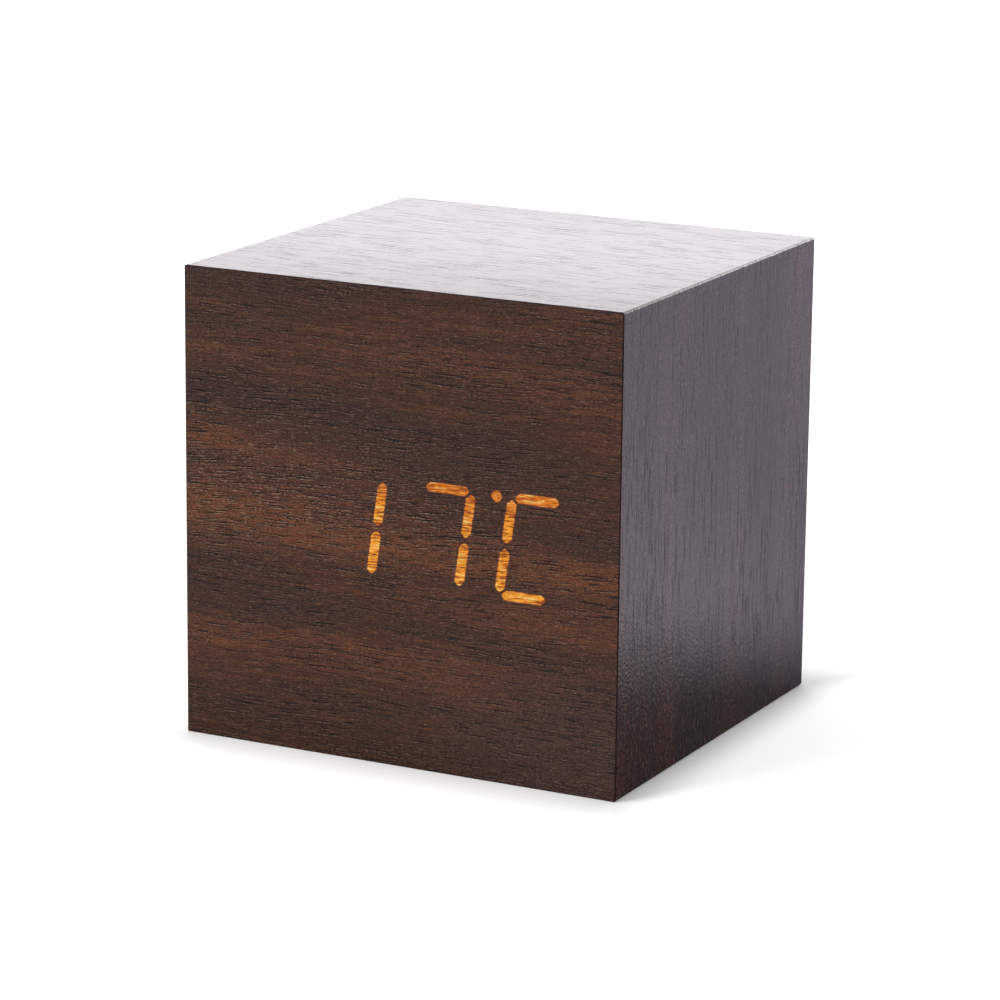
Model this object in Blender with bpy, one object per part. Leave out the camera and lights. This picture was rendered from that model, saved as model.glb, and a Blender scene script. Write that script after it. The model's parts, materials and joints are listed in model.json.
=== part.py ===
"""Wooden desk clock: a walnut-look cube with an amber read-out shining through its front.

Metres, +Z up. The origin is at the middle of the base. The front faces -Y, and +X is to the
right as seen from the front. Each separate piece of the clock is one named object.
"""
import math

import bmesh
import bpy
from mathutils import Matrix, Vector

# Front to back. The width and the height follow from what the case holds, further down
DEPTH = 0.060

# Clearances
SEAT = 0.0003
GLUE_LINE = 0.00015
WINDOW_CLEARANCE = 0.0001
PIN_CLEARANCE = 0.0001
OVERRUN = 0.001

# Case boards and film
WALL = 0.005
FILM = 0.0004
FRONT_THICKNESS = 0.0087
BLOCK_SIDE = 0.0056
BLOCK_LENGTH = 0.012

# Read-out: a standard 0.56-inch digit block
DISPLAY_HEIGHT = 0.0314
DIGIT_COUNT = 4
DIGIT_PITCH = 0.0127
DIGIT_SLANT = math.radians(8.0)
BAR_SIDE_OFFSET = 0.00345
BAR_TOP_OFFSET = 0.00642
ACROSS_END_GAP = 0.00035
ACROSS_WIDTH = 0.00142
UP_END_GAP = 0.00031
UP_WIDTH = 0.0015
BAR_TIP = 0.0003
DOT_DIAMETER = 0.0016
DOT_GAP_SHARE = 0.61
DOT_DROP = 0.00007
COLON_UP_OFFSET = 0.0030
MODULE_TRIM = 0.0005
MODULE_HEIGHT = 0.019
MODULE_DEPTH = 0.008
LIGHT_PIPE_DEPTH = 0.002
DARK_CELL_DEPTH = 0.0005
MODULE_PIN_DIAMETER = 0.0005
MODULE_PIN_LENGTH = 0.003
MODULE_PIN_PITCH = 0.00254
MODULE_PIN_ROW = 0.00762
MODULE_PIN_COLUMNS = 6

# Each bar of a digit: its direction, and its place as shares of the side and top offsets
BAR_PLACE_SHARES = {
    "a": ("across", 0, 1),
    "b": ("up", 1, 0.5),
    "c": ("up", 1, -0.5),
    "d": ("across", 0, -1),
    "e": ("up", -1, -0.5),
    "f": ("up", -1, 0.5),
    "g": ("across", 0, 0),
}
LIT_BARS = [
    ("lit_one_upper", 1, "b"),
    ("lit_one_lower", 1, "c"),
    ("lit_seven_top", 2, "a"),
    ("lit_seven_upper", 2, "b"),
    ("lit_seven_lower", 2, "c"),
    ("lit_c_top", 3, "a"),
    ("lit_c_upper", 3, "f"),
    ("lit_c_lower", 3, "e"),
    ("lit_c_bottom", 3, "d"),
]
DOT_DIGIT = 2

# Rail of the front board beside the display's window
WINDOW_RAIL = 0.0006

# Display board and what stands on it
BOARD_EDGE_GAP = 0.001
BOARD_MARGIN = 0.0055
BOARD_THICKNESS = 0.0016
BOARD_SCREW_INSET = 0.0055
BOARD_SCREW_RISE = 0.0031
CHIP_END = 0.000685
CHIP_WIDTH = 0.0075
CHIP_THICKNESS = 0.0023
CHIP_SIDE = 0.014
CHIP_DROP = 0.0015
LEG_COUNT = 10
LEG_PITCH = 0.00127
LEG_WIDTH = 0.0004
LEG_REACH = 0.0014
LEG_THICKNESS = 0.0003
BUZZER_DIAMETER = 0.012
BUZZER_HEIGHT = 0.0085
BUZZER_HOLE_DIAMETER = 0.002
BUZZER_HOLE_DEPTH = 0.004
BUZZER_EDGE = 0.0005
BUZZER_SIDE = 0.0155
BUZZER_DROP = 0.002
CRYSTAL_DIAMETER = 0.0020
CRYSTAL_LENGTH = 0.0060
CRYSTAL_EDGE = 0.0003
CRYSTAL_GAP = 0.00163
SENSOR_DIAMETER = 0.0024
SENSOR_STAND_OFF = 0.0035
SENSOR_LEG_DIAMETER = 0.0005
SENSOR_LEG_PITCH = 0.0013
SENSOR_RISE = 0.0105

# Screws
SCREW_DIAMETER = 0.0018
SCREW_HEAD_DIAMETER = 0.0036
SCREW_HEAD_HEIGHT = 0.0012
SCREW_HEAD_EDGE = 0.0003
COVER_SCREW_LENGTH = 0.0095
BOARD_SCREW_LENGTH = 0.0050
SCREW_TIP = 0.0008
RECESS_LENGTH = 0.0020
RECESS_WIDTH = 0.0005
RECESS_DEPTH = 0.0006

# Back cover
COVER_INSET = 0.001
COVER_THICKNESS = 0.0024
COVER_EDGE = 0.0003
HEAD_INSET = 0.0002
TRAY_WALL = 0.0011
RIB_WIDTH = 0.0024
VENT_COUNT = 3
VENT_LENGTH = 0.008
VENT_WIDTH = 0.001
VENT_SPACE = 0.0024

# Cells and contacts
CELL_COUNT = 3
CELL_DIAMETER = 0.0105
CELL_LENGTH = 0.0445
CELL_NUB_DIAMETER = 0.0038
CELL_NUB_LENGTH = 0.001
CELL_EDGE = 0.0006
CELL_SPACE = 0.00055
CONTACT_THICKNESS = 0.0004
CONTACT_FRONT_INSET = 0.00125
CONTACT_END_INSET = 0.00075
TAIL_WIDTH = 0.0016
TAIL_REACH = 0.002
SPRING_WIRE = 0.0005
SPRING_WIDE_RADIUS = 0.0030
SPRING_NARROW_RADIUS = 0.0018
SPRING_TURNS = 3
SPRING_POINTS_PER_TURN = 10
SPRING_LEAST_LENGTH = 0.0034

# Battery door
DOOR_THICKNESS = 0.0018
DOOR_RIB_WIDTH = 0.0012
DOOR_RIB_HEIGHT = 0.0006
HINGE_INSET = 0.0008
HINGE_RISE = 0.0013
RIM_DROP = 0.0008
EAR_WIDTH = 0.003
EAR_RADIUS = 0.00075
EAR_SPACING = 0.036
HINGE_PIN_DIAMETER = 0.0009
HINGE_PIN_LENGTH = 0.0010
LATCH_WIDTH = 0.010
LATCH_ROOT = 0.0025
LATCH_LIP = 0.0009
GRIP_COUNT = 3
GRIP_LENGTH = 0.012
GRIP_WIDTH = 0.0008
GRIP_DEPTH = 0.0005
GRIP_PITCH = 0.0020
GRIP_DROP = 0.0060

# Buttons, switches and the board that carries them
BUTTON_NAMES = ("set", "up", "down")
BUTTON_DIAMETER = 0.005
BUTTON_PROUD = 0.0008
BUTTON_EDGE = 0.0003
FLANGE_LIP = 0.0007
FLANGE_THICKNESS = 0.0009
BUTTON_TRAVEL = 0.0005
PLUNGER_DIAMETER = 0.0032
PLUNGER_LENGTH = 0.0017
SWITCH_SIDE = 0.006
SWITCH_HEIGHT = 0.0035
SWITCH_EDGE = 0.0004
BUTTON_BOARD_HEIGHT = 0.0102
BUTTON_BOARD_THICKNESS = 0.0012
BUTTON_BOARD_GAP = 0.0006
BOSS_WALL = 0.0007
JACK_WIDTH = 0.0066
JACK_HEIGHT = 0.0060
JACK_COLLAR_DIAMETER = 0.0056
JACK_COLLAR_INSET = 0.0003
JACK_BORE_DIAMETER = 0.0036
JACK_BORE_DEPTH = 0.0062
JACK_PIN_DIAMETER = 0.0012
JACK_PIN_INSET = 0.0008

# Wires
LEAD_DIAMETER = 0.0012
LEAD_POINTS = 26
LEAD_REACH = 0.0055
LEAD_END_RUN = 0.0018
RIBBON_WIDTH = 0.0090
RIBBON_THICKNESS = 0.0009
RIBBON_POINTS = 24
RIBBON_FOOT = 0.0024

# Middle knots of a battery lead: how far out, forward of the tail, and up it is
LEAD_KNOT_SHARES = (
    (1.00, 0.45, 0.03),
    (0.97, 0.90, 0.30),
    (0.85, 1.00, 0.65),
    (0.55, 0.40, 0.95),
    (0.16, -0.42, 1.00),
)
# Middle knots of the ribbon: how far back and up it is between its two boards
RIBBON_KNOT_SHARES = (
    (0.08, 0.00),
    (0.25, 0.35),
    (0.50, 0.85),
    (0.75, 1.06),
    (0.92, 1.00),
)

# Facets of round pieces
ROUND_SIDES = 28
SMALL_SIDES = 16
TINY_SIDES = 6

# Sizes that follow from the ones above
UP_LENGTH = BAR_TOP_OFFSET - 2 * UP_END_GAP
ACROSS_LENGTH = 2 * (BAR_SIDE_OFFSET - ACROSS_END_GAP)
DOT_SIDE_OFFSET = BAR_SIDE_OFFSET + (DIGIT_PITCH - 2 * BAR_SIDE_OFFSET) * DOT_GAP_SHARE
DOT_UP_OFFSET = BAR_TOP_OFFSET - DOT_DROP
MODULE_WIDTH = DIGIT_COUNT * DIGIT_PITCH - MODULE_TRIM
DISPLAY_BOARD_HEIGHT = MODULE_HEIGHT + 2 * BOARD_MARGIN
BOARD_SCREW_UP = MODULE_HEIGHT / 2 + BOARD_SCREW_RISE
CHIP_LENGTH = (LEG_COUNT - 1) * LEG_PITCH + 2 * CHIP_END
CRYSTAL_DROP = MODULE_PIN_ROW + MODULE_PIN_DIAMETER / 2 + CRYSTAL_GAP + CRYSTAL_DIAMETER / 2
CELL_PITCH = CELL_DIAMETER + CELL_SPACE
CELL_CLEAR = CELL_DIAMETER / 2 + SEAT
RIB_HEIGHT = CELL_CLEAR - math.sqrt(CELL_CLEAR ** 2 - (CELL_PITCH / 2 - RIB_WIDTH / 2) ** 2)
BAY_HEIGHT = (CELL_COUNT - 1) * CELL_PITCH + 2 * CELL_CLEAR
CONTACT_DEPTH = CELL_DIAMETER - 2 * CONTACT_FRONT_INSET
CONTACT_HEIGHT = CELL_DIAMETER - 2 * CONTACT_END_INSET
FLANGE_DIAMETER = BUTTON_DIAMETER + 2 * FLANGE_LIP
BOSS_DIAMETER = SCREW_DIAMETER + 2 * (SEAT + BOSS_WALL)
BUTTON_STRIP = BUTTON_BOARD_HEIGHT + 2 * BUTTON_BOARD_GAP

# The inside is as wide as the cells in their bay or the display in its window need
CELLS_WIDTH = CELL_LENGTH + SPRING_LEAST_LENGTH + 3 * SEAT + 2 * (CONTACT_THICKNESS + SEAT + TRAY_WALL + SEAT)
WINDOW_WIDTH = MODULE_WIDTH + 2 * (SEAT + WINDOW_RAIL + SEAT + GLUE_LINE)
WIDTH = max(CELLS_WIDTH, WINDOW_WIDTH) + 2 * WALL

# The inside is as high as a corner block, the bay and the strip with the buttons on top of one another
HEIGHT = 2 * WALL + 2 * SEAT + BLOCK_SIDE + 2 * TRAY_WALL + BAY_HEIGHT + BUTTON_STRIP

# Places worked out from the sizes above
FRONT = -DEPTH / 2
BACK = DEPTH / 2
INNER_SIDE = WIDTH / 2 - WALL
INNER_LOW = WALL
INNER_HIGH = HEIGHT - WALL
FILM_BACK = FRONT + FILM
FRONT_BACK = FRONT + FRONT_THICKNESS
MODULE_FRONT = FILM_BACK + SEAT
MODULE_BACK = MODULE_FRONT + MODULE_DEPTH
DISPLAY_BOARD_FRONT = max(MODULE_BACK, FRONT_BACK) + SEAT
DISPLAY_BOARD_BACK = DISPLAY_BOARD_FRONT + BOARD_THICKNESS
DISPLAY_BOARD_SIDE = INNER_SIDE - BOARD_EDGE_GAP
BOARD_SCREW_SIDE = DISPLAY_BOARD_SIDE - BOARD_SCREW_INSET
COVER_BACK = BACK - COVER_INSET
COVER_FRONT = COVER_BACK - COVER_THICKNESS
COVER_SIDE = INNER_SIDE - SEAT
COVER_LOW = INNER_LOW + SEAT
COVER_HIGH = INNER_HIGH - SEAT
BLOCK_SIDE_PLACE = COVER_SIDE - BLOCK_SIDE / 2
BLOCK_LOW_PLACE = COVER_LOW + BLOCK_SIDE / 2
BLOCK_HIGH_PLACE = COVER_HIGH - BLOCK_SIDE / 2
BLOCK_BACK = COVER_FRONT - SEAT
TRAY_LOW = COVER_LOW + BLOCK_SIDE + SEAT
BAY_LOW = TRAY_LOW + TRAY_WALL
BAY_SIDE = COVER_SIDE - TRAY_WALL
BAY_HIGH = BAY_LOW + BAY_HEIGHT
TRAY_HIGH = BAY_HIGH + TRAY_WALL
DOOR_BACK = COVER_BACK
DOOR_FRONT = DOOR_BACK - DOOR_THICKNESS
CELL_BACK = DOOR_FRONT - DOOR_RIB_HEIGHT - SEAT
CELL_PLACE = CELL_BACK - CELL_DIAMETER / 2
BAY_FLOOR = CELL_PLACE - CELL_DIAMETER / 2 - SEAT
TRAY_FRONT = BAY_FLOOR - TRAY_WALL
HINGE_Y = COVER_BACK - HINGE_INSET
DOOR_LOW = BAY_LOW + SEAT
HINGE_Z = DOOR_LOW - HINGE_RISE
RIM_HIGH = DOOR_LOW - RIM_DROP + SEAT
DOOR_HIGH = BAY_HIGH - SEAT
DOOR_SIDE = BAY_SIDE - SEAT
FLANGE_BACK = COVER_FRONT - SEAT
FLANGE_FRONT = FLANGE_BACK - FLANGE_THICKNESS
PLUNGER_BACK = FLANGE_FRONT - SEAT
SWITCH_BACK = PLUNGER_BACK - BUTTON_TRAVEL - SEAT
SWITCH_FRONT = SWITCH_BACK - SWITCH_HEIGHT
BUTTON_BOARD_BACK = SWITCH_FRONT - SEAT
BUTTON_BOARD_FRONT = BUTTON_BOARD_BACK - BUTTON_BOARD_THICKNESS
BUTTON_ROW = (TRAY_HIGH + INNER_HIGH) / 2
BUTTON_BOARD_SIDE = COVER_SIDE - BLOCK_SIDE - 2 * SEAT
CONTACT_SIDE = BAY_SIDE - SEAT - CONTACT_THICKNESS / 2
CONTACT_FACE = BAY_SIDE - SEAT - CONTACT_THICKNESS
SPRING_LENGTH = 2 * CONTACT_FACE - CELL_LENGTH - 3 * SEAT
TAIL_FRONT = TRAY_FRONT - TAIL_REACH


def clear_scene():
    for old in list(bpy.data.objects):
        bpy.data.objects.remove(old, do_unlink=True)


def make_material(name, colour, roughness, metallic=0.0, glow=None):
    material = bpy.data.materials.new(name)
    material.use_nodes = True
    shader = material.node_tree.nodes["Principled BSDF"]
    shader.inputs["Base Color"].default_value = (*colour, 1.0)
    shader.inputs["Roughness"].default_value = roughness
    shader.inputs["Metallic"].default_value = metallic
    if glow:
        shader.inputs["Emission Color"].default_value = (*glow, 1.0)
        shader.inputs["Emission Strength"].default_value = 1.0
    material.diffuse_color = (*colour, 1.0)
    return material


def link(name, mesh, material, location=(0, 0, 0)):
    """Put a mesh in the scene as one named object."""
    piece = bpy.data.objects.new(name, mesh)
    bpy.context.scene.collection.objects.link(piece)
    piece.location = location
    if material:
        mesh.materials.append(material)
    return piece


def finish_mesh(name, shape, smooth=False):
    """Turn a bmesh into a mesh with its faces pointing out, shaded smooth where it is round."""
    bmesh.ops.recalc_face_normals(shape, faces=shape.faces)
    mesh = bpy.data.meshes.new(name)
    shape.to_mesh(mesh)
    shape.free()
    if smooth:
        mesh.shade_smooth()
        mesh.set_sharp_from_angle(angle=math.radians(35.0))
    return mesh


def block(name, low, high, material=None):
    """A box between two corners. Its origin is at its middle."""
    low = Vector(low)
    high = Vector(high)
    shape = bmesh.new()
    bmesh.ops.create_cube(shape, size=1)
    bmesh.ops.scale(shape, vec=high - low, verts=shape.verts)
    return link(name, finish_mesh(name, shape), material, (low + high) / 2)


def rod(name, start, end, diameter, sides, material=None):
    """A round bar from one point to another. Its origin is at its middle."""
    start = Vector(start)
    end = Vector(end)
    shape = bmesh.new()
    radius = diameter / 2
    length = (end - start).length
    bmesh.ops.create_cone(shape, cap_ends=True, segments=sides, radius1=radius, radius2=radius, depth=length)
    turn = Vector((0, 0, 1)).rotation_difference(end - start).to_matrix()
    bmesh.ops.rotate(shape, matrix=turn, verts=shape.verts)
    return link(name, finish_mesh(name, shape, smooth=True), material, (start + end) / 2)


def drill(name, x, z, front, back, diameter, sides=SMALL_SIDES):
    """A round bar along Y, to cut a hole with or to join on."""
    return rod(name, (x, front, z), (x, back, z), diameter, sides)


def turned(name, profile, sides, material=None, location=(0, 0, 0), axis=(0, 1, 0)):
    """Turn a profile of (radius, height) points, the first and last of them capped, about an axis."""
    shape = bmesh.new()
    rings = []
    for radius, height in profile:
        ring = []
        for step in range(sides):
            angle = math.tau * step / sides
            ring.append(shape.verts.new((radius * math.cos(angle), radius * math.sin(angle), height)))
        rings.append(ring)
    for lower, upper in zip(rings, rings[1:]):
        for step in range(sides):
            after = (step + 1) % sides
            shape.faces.new((lower[step], lower[after], upper[after], upper[step]))
    shape.faces.new(list(reversed(rings[0])))
    shape.faces.new(rings[-1])
    turn = Vector((0, 0, 1)).rotation_difference(Vector(axis)).to_matrix()
    bmesh.ops.rotate(shape, matrix=turn, verts=shape.verts)
    return link(name, finish_mesh(name, shape, smooth=True), material, location)


def prism(name, outline, front, back, material=None, location=(0, 0, 0), smooth=False):
    """Extrude an outline of (x, z) points from front to back along Y."""
    shape = bmesh.new()
    near = [shape.verts.new((x, front, z)) for x, z in outline]
    far = [shape.verts.new((x, back, z)) for x, z in outline]
    for step in range(len(outline)):
        after = (step + 1) % len(outline)
        shape.faces.new((near[step], near[after], far[after], far[step]))
    shape.faces.new(list(reversed(near)))
    shape.faces.new(far)
    return link(name, finish_mesh(name, shape, smooth), material, location)


def stacked(name, levels, material=None):
    """Join rectangles (y, side, low, high), centred in X, into one solid along Y."""
    shape = bmesh.new()
    rings = []
    for y, side, low, high in levels:
        corners = ((-side, low), (side, low), (side, high), (-side, high))
        rings.append([shape.verts.new((x, y, z)) for x, z in corners])
    for near, far in zip(rings, rings[1:]):
        for step in range(len(near)):
            after = (step + 1) % len(near)
            shape.faces.new((near[step], near[after], far[after], far[step]))
    shape.faces.new(list(reversed(rings[0])))
    shape.faces.new(rings[-1])
    return link(name, finish_mesh(name, shape), material)


def gather(name, pieces):
    """Make one helper mesh of several helper pieces that don't touch."""
    shape = bmesh.new()
    for piece in pieces:
        start = len(shape.verts)
        shape.from_mesh(piece.data)
        shape.verts.ensure_lookup_table()
        bmesh.ops.translate(shape, vec=piece.location, verts=shape.verts[start:])
        bpy.data.objects.remove(piece, do_unlink=True)
    mesh = bpy.data.meshes.new(name)
    shape.to_mesh(mesh)
    shape.free()
    return link(name, mesh, None)


def combine(piece, helper, operation):
    """Cut a helper out of a piece, or join it on. The helper rides on the piece, outside the model."""
    carry(piece, helper)
    helper.hide_render = True
    helper.display_type = "WIRE"
    modifier = piece.modifiers.new(helper.name, "BOOLEAN")
    modifier.operation = operation
    modifier.solver = "EXACT"
    modifier.object = helper


def cut(piece, helper):
    combine(piece, helper, "DIFFERENCE")


def fuse(piece, helper):
    combine(piece, helper, "UNION")


def soften(piece, width):
    """A small bevel on every edge of a piece."""
    modifier = piece.modifiers.new("soft_edges", "BEVEL")
    modifier.width = width
    modifier.segments = 1
    modifier.limit_method = "ANGLE"


def axis_empty(name, location):
    """The parent of what moves together, on the joint's axis."""
    empty = bpy.data.objects.new(name, None)
    bpy.context.scene.collection.objects.link(empty)
    empty.location = location
    return empty


def carry(parent, piece):
    piece.parent = parent
    piece.matrix_parent_inverse = Matrix.Translation(-parent.location)


def case_wall(name, length, turn, location, material):
    """A board of the case, mitred along both sides and at the front, with its film on the outside."""
    shape = bmesh.new()
    outer = []
    inner = []
    for end, level in ((outer, 0), (inner, WALL)):
        side = length / 2 - level - GLUE_LINE
        front = FRONT + level + GLUE_LINE
        for x, y in ((-side, front), (side, front), (side, BACK), (-side, BACK)):
            end.append(shape.verts.new((x, y, -level)))
    for step in range(len(outer)):
        after = (step + 1) % len(outer)
        shape.faces.new((inner[step], inner[after], outer[after], outer[step]))
    shape.faces.new(outer)
    shape.faces.new(list(reversed(inner)))
    wall = link(name, finish_mesh(name, shape), material, location)
    wall.rotation_euler = (0, turn, 0)
    return wall


def mitred_level(depth_in, extra=0.0):
    """The front slab's outline at a depth behind the front face, mitred down to the walls' inner faces."""
    inset = min(depth_in, WALL) + GLUE_LINE + extra
    return (FRONT + depth_in, WIDTH / 2 - inset, inset, HEIGHT - inset)


def bar_outline(kind, clearance=0.0):
    """An upright or a level bar with blunt pointed ends, as (x, z) points round its middle."""
    length, width = (ACROSS_LENGTH, ACROSS_WIDTH) if kind == "across" else (UP_LENGTH, UP_WIDTH)
    half = length / 2 + clearance
    side = width / 2 + clearance
    tip = BAR_TIP / 2
    shoulder = half - side + tip
    points = [(half, tip), (shoulder, side), (-shoulder, side), (-half, tip)]
    points += [(-x, -z) for x, z in points]
    if kind == "up":
        points = [(-z, x) for x, z in points]
    return points


def slanted(points, up):
    """Lean points over, as the digits lean, for a bar that lies up above the middle of its digit."""
    return [(x + (z + up) * math.tan(DIGIT_SLANT), z + up + DISPLAY_HEIGHT) for x, z in points]


def digit_place(digit):
    return (digit - (DIGIT_COUNT - 1) / 2) * DIGIT_PITCH


def bar_points(digit, bar, clearance=0.0):
    """A bar's outline on the clock's front."""
    kind, side_share, up_share = BAR_PLACE_SHARES[bar]
    up = up_share * BAR_TOP_OFFSET
    middle = digit_place(digit) + side_share * BAR_SIDE_OFFSET
    return [(x + middle, z) for x, z in slanted(bar_outline(kind, clearance), up)]


def dot_points(side, up, clearance=0.0):
    radius = DOT_DIAMETER / 2 + clearance
    middle = side + up * math.tan(DIGIT_SLANT)
    points = []
    for step in range(SMALL_SIDES):
        angle = math.tau * step / SMALL_SIDES
        points.append((middle + radius * math.cos(angle), DISPLAY_HEIGHT + up + radius * math.sin(angle)))
    return points


def lit_shapes():
    """Name, outline and opening of each lit shape of the read-out: the nine bars and the degree dot."""
    shapes = [(name, bar_points(digit, bar), bar_points(digit, bar, WINDOW_CLEARANCE))
              for name, digit, bar in LIT_BARS]
    side = digit_place(DOT_DIGIT) + DOT_SIDE_OFFSET
    dot = [dot_points(side, DOT_UP_OFFSET, clearance) for clearance in (0, WINDOW_CLEARANCE)]
    return shapes + [("lit_degree_dot", *dot)]


def screw(name, head_face, length, material, location, axis):
    """A pan-head screw with a cross recess, its head's outer face at the location, along the axis."""
    head = SCREW_HEAD_DIAMETER / 2
    shank = SCREW_DIAMETER / 2
    profile = [
        (head - SCREW_HEAD_EDGE, 0),
        (head, -SCREW_HEAD_EDGE),
        (head, -SCREW_HEAD_HEIGHT),
        (shank, -SCREW_HEAD_HEIGHT),
        (shank, -length + SCREW_TIP),
        (shank / 2, -length),
    ]
    place = Vector(location) + Vector(axis) * head_face
    piece = turned(name, list(reversed(profile)), SMALL_SIDES, material, place, axis)
    for turn, sizes in enumerate(((RECESS_LENGTH, RECESS_WIDTH), (RECESS_WIDTH, RECESS_LENGTH))):
        half = Vector((sizes[0] / 2, RECESS_DEPTH, sizes[1] / 2))
        cut(piece, block(f"{name}_recess_{turn}", place - half, place + half))
    return piece


def curve_tube(name, points, diameter, resolution, material):
    """A round wire along points, as one closed tube."""
    curve = bpy.data.curves.new(name, "CURVE")
    curve.dimensions = "3D"
    curve.bevel_depth = diameter / 2
    curve.bevel_resolution = resolution
    curve.use_fill_caps = True
    spline = curve.splines.new("POLY")
    spline.points.add(len(points) - 1)
    for point, place in zip(spline.points, points):
        point.co = (*place, 1)
    piece = bpy.data.objects.new(name, curve)
    bpy.context.scene.collection.objects.link(piece)
    curve.materials.append(material)
    return piece


def smooth_route(knots, count):
    """Points along one smooth curve through the knots."""
    knots = [Vector(knot) for knot in knots]
    ends = [knots[0] * 2 - knots[1]] + knots + [knots[-1] * 2 - knots[-2]]
    points = []
    for step in range(count):
        place = step / (count - 1) * (len(knots) - 1)
        span = min(int(place), len(knots) - 2)
        t = place - span
        p0, p1, p2, p3 = ends[span:span + 4]
        slope = (p2 - p0) * t
        square = (p0 * 2 - p1 * 5 + p2 * 4 - p3) * t ** 2
        cube = (p1 * 3 - p0 - p2 * 3 + p3) * t ** 3
        points.append(p1 + (slope + square + cube) / 2)
    return points


def build_case(film, fibreboard):
    """Front film, front board, four mitred walls and the corner glue blocks."""
    front_film = stacked("front_film", [mitred_level(0), mitred_level(FILM)], film)
    windows = [prism(f"window_{name}", opening, FRONT - OVERRUN, FILM_BACK + OVERRUN)
               for name, outline, opening in lit_shapes()]
    cut(front_film, gather("film_windows", windows))

    levels = [mitred_level(FILM + SEAT), mitred_level(WALL, SEAT), mitred_level(FRONT_THICKNESS, SEAT)]
    front_board = stacked("front_board", levels, fibreboard)
    side = MODULE_WIDTH / 2 + SEAT
    rise = MODULE_HEIGHT / 2 + SEAT
    cut(front_board, block("display_window", (-side, FRONT - OVERRUN, DISPLAY_HEIGHT - rise),
                           (side, FRONT_BACK + OVERRUN, DISPLAY_HEIGHT + rise)))
    for name, x, z in board_screw_places():
        end = DISPLAY_BOARD_BACK - BOARD_SCREW_LENGTH - SEAT
        cut(front_board, drill(f"pilot_{name}", x, z, end, FRONT_BACK + OVERRUN, SCREW_DIAMETER + 2 * SEAT))

    case_wall("top_panel", WIDTH, 0, (0, 0, HEIGHT), film)
    case_wall("bottom_panel", WIDTH, math.pi, (0, 0, 0), film)
    case_wall("right_panel", HEIGHT, math.pi / 2, (WIDTH / 2, 0, HEIGHT / 2), film)
    case_wall("left_panel", HEIGHT, -math.pi / 2, (-WIDTH / 2, 0, HEIGHT / 2), film)

    half = BLOCK_SIDE / 2
    for name, x, z in corner_places():
        low = (x - half, BLOCK_BACK - BLOCK_LENGTH, z - half)
        high = (x + half, BLOCK_BACK, z + half)
        glue_block = block(f"corner_block_{name}", low, high, fibreboard)
        end = COVER_BACK - HEAD_INSET - COVER_SCREW_LENGTH - SEAT
        pilot = SCREW_DIAMETER + 2 * SEAT
        cut(glue_block, drill(f"block_pilot_{name}", x, z, end, BLOCK_BACK + OVERRUN, pilot))


def corner_places():
    return [
        ("lower_left", -BLOCK_SIDE_PLACE, BLOCK_LOW_PLACE),
        ("lower_right", BLOCK_SIDE_PLACE, BLOCK_LOW_PLACE),
        ("upper_left", -BLOCK_SIDE_PLACE, BLOCK_HIGH_PLACE),
        ("upper_right", BLOCK_SIDE_PLACE, BLOCK_HIGH_PLACE),
    ]


def board_screw_places():
    return [
        ("upper", -BOARD_SCREW_SIDE, DISPLAY_HEIGHT + BOARD_SCREW_UP),
        ("lower", BOARD_SCREW_SIDE, DISPLAY_HEIGHT - BOARD_SCREW_UP),
    ]


def build_display(amber, module_plastic, laminate, steel):
    """The digit block with its lit bars, on the display board behind the front."""
    module = block("display_module",
                   (-MODULE_WIDTH / 2, MODULE_FRONT, DISPLAY_HEIGHT - MODULE_HEIGHT / 2),
                   (MODULE_WIDTH / 2, MODULE_BACK, DISPLAY_HEIGHT + MODULE_HEIGHT / 2), module_plastic)
    pipe_back = MODULE_FRONT + LIGHT_PIPE_DEPTH
    cells = []
    for name, outline, opening in lit_shapes():
        prism(name, outline, FRONT, pipe_back, amber)
        cells.append(prism(f"cell_{name}", opening, MODULE_FRONT - OVERRUN, pipe_back + SEAT))
    lit_bars = {(digit, bar) for name, digit, bar in LIT_BARS}
    dark = [bar_points(digit, bar) for digit in range(DIGIT_COUNT) for bar in BAR_PLACE_SHARES
            if (digit, bar) not in lit_bars]
    dark += [dot_points(0, up) for up in (-COLON_UP_OFFSET, COLON_UP_OFFSET)]
    for outline in dark:
        cells.append(prism("dark_cell", outline, MODULE_FRONT - OVERRUN, MODULE_FRONT + DARK_CELL_DEPTH))
    cut(module, gather("module_cells", cells))

    half = DISPLAY_BOARD_HEIGHT / 2
    board = block("display_board", (-DISPLAY_BOARD_SIDE, DISPLAY_BOARD_FRONT, DISPLAY_HEIGHT - half),
                  (DISPLAY_BOARD_SIDE, DISPLAY_BOARD_BACK, DISPLAY_HEIGHT + half), laminate)
    hole_front = DISPLAY_BOARD_FRONT - OVERRUN
    hole_back = DISPLAY_BOARD_BACK + OVERRUN
    pins = []
    holes = []
    for row in (-MODULE_PIN_ROW, MODULE_PIN_ROW):
        for column in range(MODULE_PIN_COLUMNS):
            x = (column - (MODULE_PIN_COLUMNS - 1) / 2) * MODULE_PIN_PITCH
            z = DISPLAY_HEIGHT + row
            tip = MODULE_BACK + MODULE_PIN_LENGTH
            hole = MODULE_PIN_DIAMETER + 2 * SEAT
            pins.append(drill("pin", x, z, MODULE_BACK - OVERRUN, tip, MODULE_PIN_DIAMETER, TINY_SIDES))
            holes.append(drill("hole", x, z, hole_front, hole_back, hole, TINY_SIDES))
    fuse(module, gather("module_pins", pins))
    head_face = SEAT + SCREW_HEAD_HEIGHT
    for name, x, z in board_screw_places():
        holes.append(drill("hole", x, z, hole_front, hole_back, SCREW_DIAMETER + 2 * SEAT))
        screw(f"display_screw_{name}", head_face, BOARD_SCREW_LENGTH + head_face, steel,
              (x, DISPLAY_BOARD_BACK, z), (0, 1, 0))
    cut(board, gather("display_board_holes", holes))


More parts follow.
